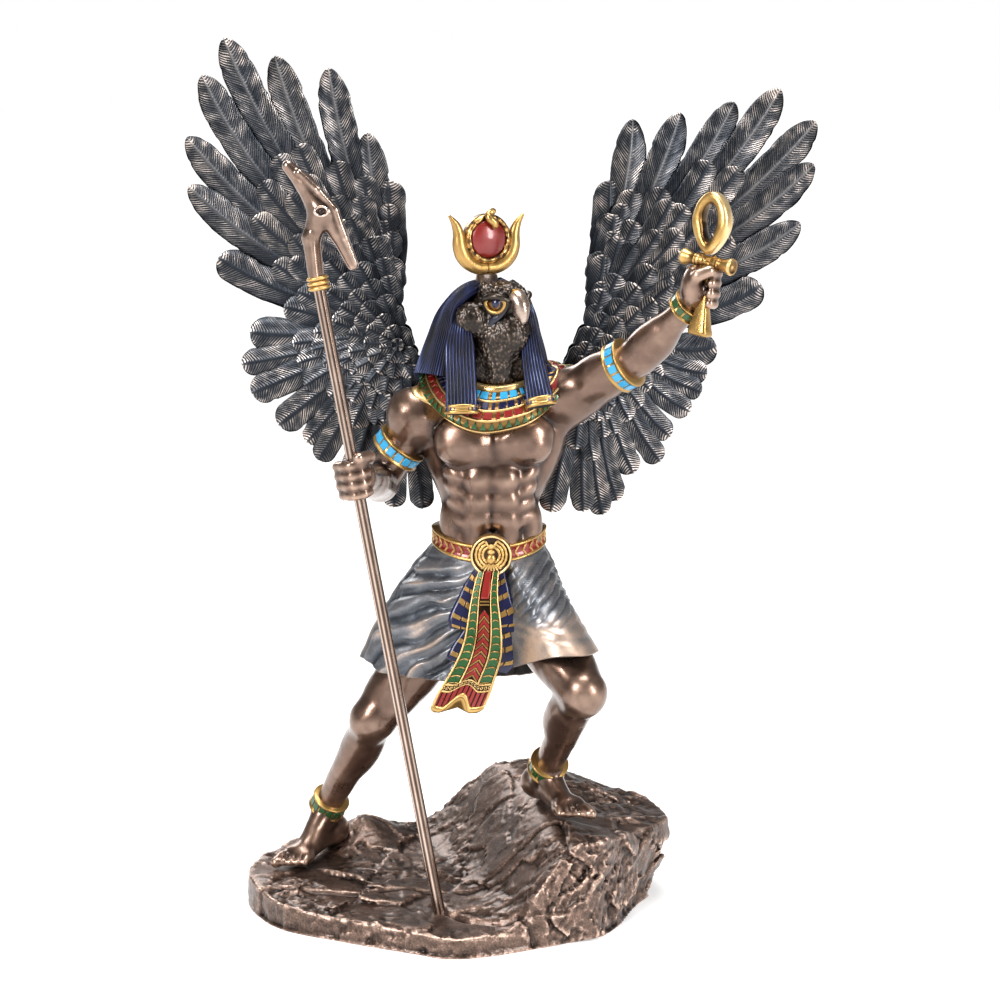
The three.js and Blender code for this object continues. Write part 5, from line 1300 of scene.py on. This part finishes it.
def make_sceptre():
    """A faceted rod with gold rings under an animal head, whose forked jaw curves back down"""
    y = ROD_TOP[1]
    front = y - 2.3
    forms = [
        limb((-41.1, y, 199), (-42.5, y, 211.5), 2.3, 2.6, 1.2),
        limb((-42.5, y, 211.5), (-39.4, y, 219.2), 2.6, 3.9, 1.2),
        limb((-39.4, y, 219.2), (-44.2, y, 227), 3.9, 2.7, 1.5),
        limb((-44.2, y, 227), (-48.9, y, 232), 2.7, 1.8, 1),
        limb((-38.2, y, 218.6), (-34.6, y, 212.6), 3.4, 2.5, 1),
        limb((-34.6, y, 212.6), (-30.6, y, 203.8), 2.5, 1.7, 1),
        limb((-45.6, front + 0.6, 230.2), (-40, front - 0.6, 225), 1.1, 1.1, 0.5),
        limb((-40, front - 0.6, 225), (-35.4, front, 219.6), 1.1, 1.1, 0.5),
        limb((-35.4, front, 219.6), (-32.6, front + 0.4, 211.4), 1.1, 1, 0.5),
        limb((-32.6, front + 0.4, 211.4), (-29.9, front + 1.2, 204.4), 1, 0.8, 0.5),
        limb((-42.2, front + 0.2, 213), (-41.1, front + 0.4, 200), 0.9, 0.9, 0.5),
    ]
    field, low = field_of(forms, SCEPTRE_CELL)
    points, quads = skin(field, low, SCEPTRE_CELL)
    shape = Shape()
    shape.add(points, quads, 0, relief_of(points, quads, 0.5, 6))
    first, second = sideways(ROD_TOP - ROD_FOOT)
    turn = circle(64)
    spread = first * np.cos(turn)[:, None] + second * np.sin(turn)[:, None]
    # The rod is drawn out in shallow facets that catch the light as long lines, with light and dark stripes
    # painted along it as highlight and shade lines
    rod_steps, ridges = 60, 8
    facet = 1 - 0.035 * np.cos(ridges * turn)[:, None]
    heights = np.linspace(ROD_FOOT[2], 198.5, rod_steps)
    painted_rod_stripes = np.tile(0.5 + 0.3 * np.cos(ridges * turn + 1), (rod_steps, 1))
    shape.add_grid(
        np.stack([rod_at(z) + spread * ROD_RADIUS * facet for z in heights]), 0, painted_rod_stripes,
        wrap_columns=True, capped=True)
    for z in (197.1, 198.5, 199.9):
        collar = [rod_at(z + 0.7 * math.sin(a)) + spread * (2.2 + 1.1 * math.cos(a))
                  for a in np.linspace(-1.3, 1.3, 9)]
        shape.add_grid(np.stack(collar), 1, 0.6, wrap_columns=True)
    eye = vec((-39.2, y - 4.2, 219.3))
    rim = np.stack([1.9 * np.cos(turn), -0.5 * np.cos(turn) ** 2, 1.3 * np.sin(turn)], -1)
    shape.add_grid(sweep(np.vstack([rim, rim[:2]]) + eye, 0.42, 10), 0, 0.8, wrap_columns=True)
    # The eye is a dome painted near black, as the shade of an eye slot
    dome = [(math.cos(a), 0.2 - 0.9 * math.sin(a)) for a in np.linspace(0, 1.56, 6)]
    shape.add_grid(turned(dome, turn, eye, (1.1, 0, 0), (0, 0, 0.9)), 0, 0.15, wrap_columns=True)
    return shape.make("sceptre_detail", [COPPER, GOLD])


# Wings

RIGHT_TIPS = [
    (-23, 226, 92), (-29.5, 240.7, 95), (-41.7, 260.7, 99), (-58.8, 264.5, 105), (-75.2, 270.1, 112),
    (-82.4, 258.6, 114), (-87.7, 239.2, 129), (-87.3, 223.8, 136), (-77.8, 201.4, 147),
    (-67.9, 177.7, 175), (-70.7, 167.5, 190), (-67.5, 158.3, 203), (-58.8, 148.3, 217),
    (-49.7, 143.1, 228), (-45.9, 137.5, 238), (-35.8, 131.4, 250), (-27.5, 126.9, 262),
    (-21.7, 123.3, 268), (-12.4, 123.3, 275),
]
LEFT_TIPS = [
    (46.5, 226, 92), (53.6, 244.9, 88), (68.8, 246.9, 72), (86, 250.2, 63), (100.8, 254.4, 60),
    (112.6, 244.2, 50), (112.2, 230.7, 45), (108, 212.2, 38), (95.4, 192.9, 38), (81, 173.8, 20),
    (78.1, 164.9, -5), (76.4, 159.2, -15), (72.7, 152.9, -25), (66.3, 145.1, -38), (63.1, 137.2, -50),
    (54.4, 133.7, -62), (49.3, 125.2, -68), (44.6, 120.9, -75), (38.4, 122.1, -85), (28, 122.3, -100),
]
WINGS = {
    "wing_right": {
        "tips": RIGHT_TIPS, "middle": (-21, 179), "rosette": (-20, 175.5), "side": -1,
        "inner": [(-21.5, 228), (-20.8, 221), (-19.2, 214), (-18.6, 205), (-19, 196), (-19, 186),
                  (-16.5, 178.5), (-13, 172)],
    },
    "wing_left": {
        "tips": LEFT_TIPS, "middle": (41, 182), "rosette": (36, 166), "side": 1,
        "inner": [(50, 224), (46.8, 216), (44.5, 209), (42.5, 200), (41, 191), (38.4, 182), (34.5, 174),
                  (30, 167)],
    },
}
# Tips nearer than this to the wing's middle are round, and the rosette ends at the same distance
LONG_FEATHER = 62
ROSETTE_LIMIT = 62
FRONT_ACROSS = vec([-1, -0.82, -0.5, -0.2, -0.07, 0, 0.07, 0.2, 0.5, 0.82, 1])
BACK_ACROSS = vec([-1, -0.7, -0.1, 0.1, 0.7, 1])
BARB_PITCH = 1.05


def wing_depth(x, z):
    return 15 + 0.22 * np.abs(x - 10) + 0.06 * (z - 160)


def add_feather(shape, root, tip, degrees, half_width, lift, round_end, seed, back, rise, tilt):
    """One feather: a quill, barbs that sweep forward from it, and a camber. Lift is how far it stands out."""
    root, tip = vec(root), vec(tip)
    heading = vec((math.cos(math.radians(degrees)), math.sin(math.radians(degrees))))
    length = size(tip - root)
    bend = tip - heading * length * 0.45
    barbs = max(6, int(length / BARB_PITCH / (1.8 if back else 1)))
    t0 = np.linspace(0, 1, 2 * barbs + 1)
    uneven = grain(np.stack([t0 * barbs * 0.9, t0 * 0 + seed, t0 * 0], -1), 1.0, 2)
    t0 = (t0 + 0.16 / barbs * uneven * (t0 > 0) * (t0 < 1))[:, None]
    s = (BACK_ACROSS if back else FRONT_ACROSS)[None, :]
    reach = 1.35 * half_width / length
    t = np.clip(t0 + reach * np.abs(s) ** 1.2 * (1 - t0 ** min(5, 0.7 / reach)), 0, 1)
    start_of_end = 1 - np.clip((1.0 if round_end else 2.7) * half_width / length, 0.1, 0.8)
    over = np.clip((t - start_of_end) / (1 - start_of_end), 0, 1)
    shoulder = (1 - over ** 2) ** (0.5 if round_end else 0.58)
    width = half_width * shoulder * (0.66 + 0.34 * smooth(t * 2.2))
    notch = grain(np.stack([t * length / 2.3, s + 0 * t, s * 0 + t * 0 + seed], -1), 1.0, 4)
    ragged = 1 - 0.1 * np.maximum(notch, 0) * (np.abs(s) > 0.9)
    quill = (1 - t)[..., None] ** 2 * root + 2 * (t * (1 - t))[..., None] * bend + (t ** 2)[..., None] * tip
    way = unit(2 * (1 - t)[..., None] * (bend - root) + 2 * t[..., None] * (tip - bend))
    normal = np.stack([-way[..., 1], way[..., 0]], -1)
    # Flat lies in the wing's plane, as x and z
    flat = quill + normal * (s * width * ragged)[..., None]
    ridge = (np.arange(2 * barbs + 1) % 2)[:, None] * (np.abs(s) > 0.1) * (1 - 0.6 * (np.abs(s) > 0.97))
    wander = 0.5 + 0.5 * grain(np.stack([flat[..., 0], flat[..., 1], flat[..., 0] * 0 + seed], -1), 2.1, 1)
    shown = 0.3 + 0.7 * smooth(t0 * 2.4 - 0.5)
    barb_height = 0.52 * ridge * (0.5 + 0.6 * wander) * shown * np.abs(s) ** 0.25
    out = 0.9 * (1 - s ** 2) * half_width / 6 + barb_height
    out = out + 0.6 * (np.abs(s) < 0.1) * (1 - 0.5 * t) + rise * t ** 2 + tilt * s
    depth = wing_depth(flat[..., 0], flat[..., 1])
    front = 1 if back else -1
    points = np.stack([flat[..., 0], depth + front * (lift + out), flat[..., 1]], -1)
    edge = np.clip((np.abs(s) - 0.8) * 5, 0, 1) + np.clip((t - 0.9) * 10, 0, 1)
    quill_tone = (0.12 if round_end else 0.34) * (np.abs(s) < 0.1)
    barb_tone = 0.7 * ridge * (0.3 + 0.9 * wander)
    tone = 0.14 + (barb_tone + quill_tone + 0.4 * edge * wander) * shown
    shape.add_grid(points, 0, np.clip(tone, 0, 1))
    # The rim turns down to the row beneath
    rim = np.concatenate([points[:, 0], points[-1:, s.size // 2], points[::-1, -1]])
    under = rim.copy()
    under[:, 1] -= front * 1.1
    shape.add_grid(np.stack([rim, under]), 0, 0.25)


def make_wing(name, layout):
    """Two layers of feathers, back to back, that fan out from the wing's middle"""
    shape = Shape()
    tips, inner = vec(layout["tips"]), vec(layout["inner"])
    middle, rosette, side = vec(layout["middle"]), vec(layout["rosette"]), layout["side"]
    count = len(tips)
    spread = size(np.diff(tips[:, :2], axis=0))
    upward = inner[np.argsort(inner[:, 1])]
    from_rosette = tips[:, :2] - rosette
    bearings = np.arctan2(from_rosette[:, 1], from_rosette[:, 0])
    order = np.argsort(bearings)

    def inner_edge(z):
        return np.interp(z, upward[:, 1], upward[:, 0])

    def reach_at(bearing):
        return np.interp(bearing, bearings[order], size(from_rosette)[order], period=TAU)

    def add_long_feathers(back):
        """One feather for each listed tip"""
        for n, (x, z, degrees) in enumerate(tips):
            tip = vec((x, z))
            near = (spread[max(n - 1, 0)] + spread[min(n, count - 2)]) / 2
            wide = float(np.clip(0.42 * near, 3.9, 5.4))
            is_round = size(tip - middle) < LONG_FEATHER
            add_feather(shape, mix(middle, tip, 0.28), tip, degrees, wide, 0.6 if back else 0.4, is_round, n,
                        back, 0.3, 0.55 * side)

    def add_row(row, reach, offset, lift, back):
        """Feathers between or behind the long ones, a share of the way out"""
        for n in np.arange(offset, count - 1 + 1e-6):
            k = min(int(n), count - 2)
            tip, degrees = np.split(tips[k] * (1 - n + k) + tips[k + 1] * (n - k), [2])
            wobble = grain(vec([n * 3.1, row * 5.3, side * 7.7]), 1.0, 6)
            end = mix(middle, tip, reach * (1 + 0.12 * wobble))
            radial = heading_of(tip - middle)
            turn = (degrees[0] - radial + 180) % 360 - 180
            wide = float(np.clip(spread[k] * reach * 0.62, 3.2, 4.4))
            add_feather(shape, mix(middle, tip, reach - 0.34), end, radial + turn * reach + 8 * wobble, wide,
                        lift, True, n + row * 31, back, 0.8, 0.3 * side)

    def add_inner_edge(back):
        """Eight feathers down the edge that is next to the body"""
        for n, z in enumerate((219, 210.5, 202.5, 195, 188, 181, 175, 169.5)):
            tip, root = vec((inner_edge(z) + 2.4 * side, z)), vec((inner_edge(z - 9) + 2.6 * side, z - 11))
            leaning = heading_of(tip - root) + 8 * side
            add_feather(shape, root, tip, leaning, 3.2, 2.3 + 0.35 * n, True, n + 90, back, 0.6, 0.3 * side)

    def add_rosette(back):
        """Small round feathers in rings about the rosette, highest in the middle"""
        radius, ring = 2.0, 0
        while radius < ROSETTE_LIMIT:
            pitch = 4.2 + 0.09 * min(radius, 40)
            steps = max(5, int(TAU * radius / pitch))
            for n in range(steps):
                chance = grain(vec([n * 1.7 + 0.3, ring * 2.9, side * 4.1]), 1.0, 12)
                bearing = (n + 0.5 * (ring % 2) + 0.22 * chance) / steps * TAU - math.pi
                heading = vec((math.cos(bearing), math.sin(bearing)))
                end = rosette + heading * radius * (1 + 0.04 * chance)
                reach = 0.42 * reach_at(bearing)
                is_past_edge = (inner_edge(end[1]) - end[0]) * side > -2.2 and end[1] > 166
                if radius > reach + 3 * chance or is_past_edge or end[1] > 222:
                    continue
                wide = 0.66 * pitch
                root = rosette + heading * max(radius - wide * 2.7, -0.6)
                add_feather(shape, root, end, math.degrees(bearing) + 10 * chance, wide,
                            5.8 - 2.7 * (radius / reach) ** 0.8, True, n * 3 + ring * 17, back, 1.0,
                            0.3 * side * chance)
            radius += 0.98 * pitch
            ring += 1
    for back in (False, True):
        add_long_feathers(back)
        for row, (reach, offset, lift) in enumerate(((0.66, 0.5, 1.4), (0.52, 0, 2.1), (0.4, 0.5, 2.9))):
            add_row(row, reach, offset, lift, back)
        add_inner_edge(back)
        add_rosette(back)
    return shape.make(name + "_feathers", [FEATHER])


# The rock

ROCK_OUTLINE = [
    (-69, -4), (-58, -27), (-37, -39.5), (-13, -50.5), (-3, -54.5), (11, -51.5), (33, -41), (46, -33),
    (57, -14), (68, 7), (63, 26), (44, 39), (14, 44), (-20, 42), (-48, 33), (-65, 16),
]
ROCK_CELL = 0.75
OVERHANG = 8
CREVICE = [(-7, -27), (-3.5, -33.5), (2.5, -38.5), (10, -40.5), (17, -42), (27, -46)]
LEDGE = [(1, 33), (9.5, 26), (15, 29), (18, 36), (22, 38), (29, 32)]


def rock_top(x, y):
    ramp = smooth((x + 0.34 * y + 4) / 31)
    low = 10.8 + 0.055 * y
    high = 33.4 - 0.2 * np.maximum(0, x - 25)
    hump = 7 * np.exp(-((x + 33) ** 2 + (y - 27) ** 2) / 90)
    crest = 2.4 * np.exp(-((x - 19) ** 2 + (y - 33) ** 2) / 160)
    return low + (high - low) * ramp + hump + crest


def distance_to_line(x, y, corners):
    nearest = np.full(x.shape, 99.0)
    for (ax, ay), (bx, by) in zip(corners, corners[1:]):
        t = np.clip(((x - ax) * (bx - ax) + (y - ay) * (by - ay)) / ((bx - ax) ** 2 + (by - ay) ** 2), 0, 1)
        nearest = np.minimum(nearest, np.hypot(x - ax - t * (bx - ax), y - ay - t * (by - ay)))
    return nearest


def make_rock():
    """A low slab and a raised block, broken into layered flakes, with a crevice and a ledge in front"""
    outline = around([(x, y, 0) for x, y in ROCK_OUTLINE], 720)[:, :2]
    turns = np.arctan2(outline[:, 1], outline[:, 0])
    order = np.argsort(turns)
    axes = [np.arange(-72, 72, ROCK_CELL), np.arange(-58, 47, ROCK_CELL), np.arange(-2, 40, ROCK_CELL)]
    x, y, z = np.meshgrid(*axes, indexing="ij")
    angle = np.arctan2(y, x)
    radius = np.interp(angle, turns[order], size(outline)[order], period=TAU)
    under = OVERHANG * np.exp(-((angle - 0.25) / 0.5) ** 2) * (1 - smooth(z / 24))
    wall = np.hypot(x, y) - radius + 0.4 + 0.07 * z + under
    top = rock_top(x, y)
    body_field = np.maximum(wall, (z - top) * 0.9)
    near = np.abs(body_field) < 5
    px, py, pz = x[near], y[near], z[near]
    p = np.stack([px, py, pz], -1)
    mass = smooth((px + 0.34 * py - 2) / 22)
    steep = smooth((top[near] - pz - 1.5) / 4)
    feet = np.exp(-(np.hypot(px + 50, py - 6) / 11) ** 4) + np.exp(-(np.hypot(px - 30, py + 9) / 13) ** 4)
    bent = p + 1.4 * np.stack([grain(p, 7, 40 + k) for k in range(3)], -1)
    lay = np.stack([
        0.6 * (0.95 * bent[:, 0] + 0.3 * bent[:, 2]), bent[:, 1],
        1.3 * (0.95 * bent[:, 2] - 0.3 * bent[:, 0])], -1)
    slant = np.stack([
        0.32 * (0.7 * bent[:, 0] + 0.71 * bent[:, 2]), bent[:, 1] * 0.8,
        0.7 * bent[:, 2] - 0.71 * bent[:, 0]], -1)
    face = mass * steep
    flow = np.where(face[:, None] > 0.45, slant, lay)
    # Smooth fields lie between flaky ones, and the faces are hewn more deeply than the tops
    flaky = smooth((grain(p * (1, 1, 1.6), 13, 70) + 0.15) / 0.35)
    broad = facets(bent * (0.8, 1, 1), 13, 3, 0.3) * (0.35 + 0.45 * face)
    middle = facets(flow, 4.6, 21, 0.36) * (0.16 + 0.34 * flaky + 0.5 * face)
    fine = facets(flow * 1.1, 1.9, 33, 0.44) * (0.12 + 0.42 * flaky + 0.4 * face)
    streak = np.exp(-(grain(flow * (0.5, 1, 1), 2.6, 50) / 0.1) ** 2) * (grain(p, 9, 52) > 0.1)
    detail = broad + middle + fine + 0.35 * streak * flaky + 0.12 * rough(p, 1.5, 6, 2)
    low_wall = (1 - mass) * (wall[near] > -1.5)
    detail = detail * (1 - 0.8 * np.clip(feet, 0, 1) * (1 - steep)) * (1 - 0.35 * low_wall)
    crack = distance_to_line(px + 1.2 * grain(p, 4, 9), py, CREVICE)
    detail = detail + 3.6 * np.exp(-(crack / 1.2) ** 2) * (1 - 0.5 * steep)
    ledge = px + 1.2 * grain(p, 3, 14) - np.interp(pz, *np.transpose(LEDGE))
    ahead_face = (py < -16) * smooth((pz + 2) / 4)
    detail = detail + ahead_face * (0.9 - 1.8 * smooth(ledge / 1.6 + 0.5) * np.exp(-np.maximum(ledge,
                                                                                               0) / 18))
    detail = detail + ahead_face * 1.6 * np.exp(-(ledge / 0.8) ** 2)
    body_field[near] += 0.7 + detail * smooth(pz / 1.2)
    field = np.maximum(body_field, -z)
    points, quads = skin(field, vec([a[0] for a in axes]), ROCK_CELL)
    points[:, 2] = np.maximum(points[:, 2], 0)
    relief = 0.66 * relief_of(points, quads, 0.6, 3) + 0.34 * relief_of(points, quads, 2.6, 14)
    shape = Shape()
    shape.add(points, quads, 0, relief)
    return shape.make("rock", [ROCK], recalc=False)


# Assembly

head = make_head()
wig = make_wig()
locks = [
    make_lock("lock_right", [(0.2, -3.8, 185.6), (-0.1, -9.8, 177.6), (0.3, -14.2, 167.5),
                             (0.5, -16.2, 158.6)], [4.5, 9.0, 9.4, 9.6], 2.0, 9),
    make_lock("lock_left", [(20.0, 1, 188), (20.8, -5.4, 181.6), (22.0, -10.4, 173), (23.2, -13.4, 166.5),
                            (24.2, -15.2, 160.8)], [4, 5.4, 6.8, 7.8, 8.6], 2.0, 8),
]
left_axis = vec(LEFT_ARM["elbow"]) - LEFT_ARM["shoulder"]
fore_axis = vec(LEFT_ARM["wrist"]) - LEFT_ARM["elbow"]
bands = [
    make_band("armband_right", mix(RIGHT_ARM["shoulder"], RIGHT_ARM["elbow"], 0.44) + (-0.6, 0, 0),
              (-0.62, 0.2, -0.76), 7.1, 4.8, 16, TURQUOISE),
    make_band("armband_left", mix(LEFT_ARM["shoulder"], LEFT_ARM["elbow"], 0.8),
              left_axis, 6.9, 5, 16, TURQUOISE),
    make_band("wristband_left", mix(LEFT_ARM["elbow"], LEFT_ARM["wrist"], 0.98),
              fore_axis, 4.4, 3.8, 12, GREEN),
]
for name, leg in (("anklet_right", RIGHT_LEG), ("anklet_left", LEFT_LEG)):
    shin = vec(leg["knee"]) - leg["ankle"]
    bands.append(make_band(name, mix(leg["knee"], leg["ankle"], 0.95), shin, 5, 5, 14, GREEN))
pieces = [
    body, head, make_beak(), make_eyes(), wig, *locks, make_collar(), make_belt(), make_medallion(),
    make_kilt(), make_sash(), *bands, make_crown(), make_ankh(),
]
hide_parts("figure")
sceptre = make_sceptre()
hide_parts("sceptre")
for name, layout in WINGS.items():
    wing = make_wing(name, layout)
    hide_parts(name)
rock = make_rock()
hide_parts("rock_base")


# Stage, light and camera

bpy.ops.mesh.primitive_circle_add(vertices=96, radius=60, fill_type="NGON")
floor = bpy.context.object
floor.name = "floor"
pale = bpy.data.materials.new("pale_floor")
pale.use_nodes = True
pale_shader = pale.node_tree.nodes["Principled BSDF"]
pale_shader.inputs["Base Color"].default_value = (0.7, 0.7, 0.7, 1)
pale_shader.inputs["Roughness"].default_value = 0.9
pale_shader.inputs["Emission Color"].default_value = (1, 1, 1, 1)
# Far from the object, where the lamps don't reach, the floor glows as bright as it looks near by
tree = pale.node_tree
spot, length, glow = (
    tree.nodes.new(kind) for kind in ("ShaderNodeTexCoord", "ShaderNodeVectorMath", "ShaderNodeMapRange"))
length.operation = "LENGTH"
for key, value in {"From Min": 0.5, "From Max": 2.0, "To Min": 0.45, "To Max": 1.0}.items():
    glow.inputs[key].default_value = value
tree.links.new(spot.outputs["Object"], length.inputs[0])
tree.links.new(length.outputs["Value"], glow.inputs["Value"])
tree.links.new(glow.outputs[0], pale_shader.inputs["Emission Strength"])
floor.data.materials.append(pale)

# The studio's brightness from straight below, at 0, to straight above, at 1
SKY = [(0.0, 0.3), (0.485, 1.0), (0.53, 1.0), (0.6, 0.2), (0.8, 0.14), (1.0, 0.3)]
world = bpy.data.worlds.new("studio")
bpy.context.scene.world = world
world.use_nodes = True
sky, join = world.node_tree.nodes, world.node_tree.links
direction, parts = sky.new("ShaderNodeTexCoord"), sky.new("ShaderNodeSeparateXYZ")
elevation, shades = sky.new("ShaderNodeMapRange"), sky.new("ShaderNodeValToRGB")
elevation.inputs["From Min"].default_value = -1
join.new(direction.outputs["Generated"], parts.inputs[0])
join.new(parts.outputs["Z"], elevation.inputs["Value"])
join.new(elevation.outputs[0], shades.inputs[0])
join.new(shades.outputs["Color"], sky["Background"].inputs["Color"])
while len(shades.color_ramp.elements) < len(SKY):
    shades.color_ramp.elements.new(0.5)
for element, (position, shade) in zip(shades.color_ramp.elements, SKY):
    element.position = position
    element.color = (shade, shade, shade, 1)
bpy.context.scene.view_settings.view_transform = "Standard"


def softbox(name, place, target, energy, width, height):
    light = bpy.data.lights.new(name, "AREA")
    light.shape = "RECTANGLE"
    light.size, light.size_y = width, height
    light.energy = energy
    holder = bpy.data.objects.new(name, light)
    bpy.context.scene.collection.objects.link(holder)
    holder.location = place
    holder.rotation_euler = (Vector(target) - Vector(place)).to_track_quat("-Z", "Y").to_euler()


softbox("key", (-0.6, -0.7, 0.65), (0, 0, 0.13), 11, 0.28, 0.5)
softbox("fill", (0.75, -0.65, 0.45), (0, 0, 0.13), 8, 0.2, 0.55)
softbox("top", (0.05, 0.0, 0.95), (0, 0, 0.1), 8.5, 0.5, 0.4)
softbox("rim", (-0.4, 0.8, 0.6), (0, 0, 0.15), 4, 0.5, 0.4)

# The camera that was fitted to the photograph
FOCAL_PIXELS = 2298
FRAME_PIXELS = 1000
SENSOR_MM = 36
CAMERA_METRES = (0.012, -0.7, 0.25)
DEGREES_DOWN = 9.81

camera = bpy.data.cameras.new("camera")
camera.sensor_width = SENSOR_MM
camera.lens = FOCAL_PIXELS / FRAME_PIXELS * SENSOR_MM
camera.clip_start = 0.01
view = bpy.data.objects.new("camera", camera)
bpy.context.scene.collection.objects.link(view)
view.location = CAMERA_METRES
view.rotation_euler = (math.radians(90 - DEGREES_DOWN), 0, 0)
bpy.context.scene.camera = view
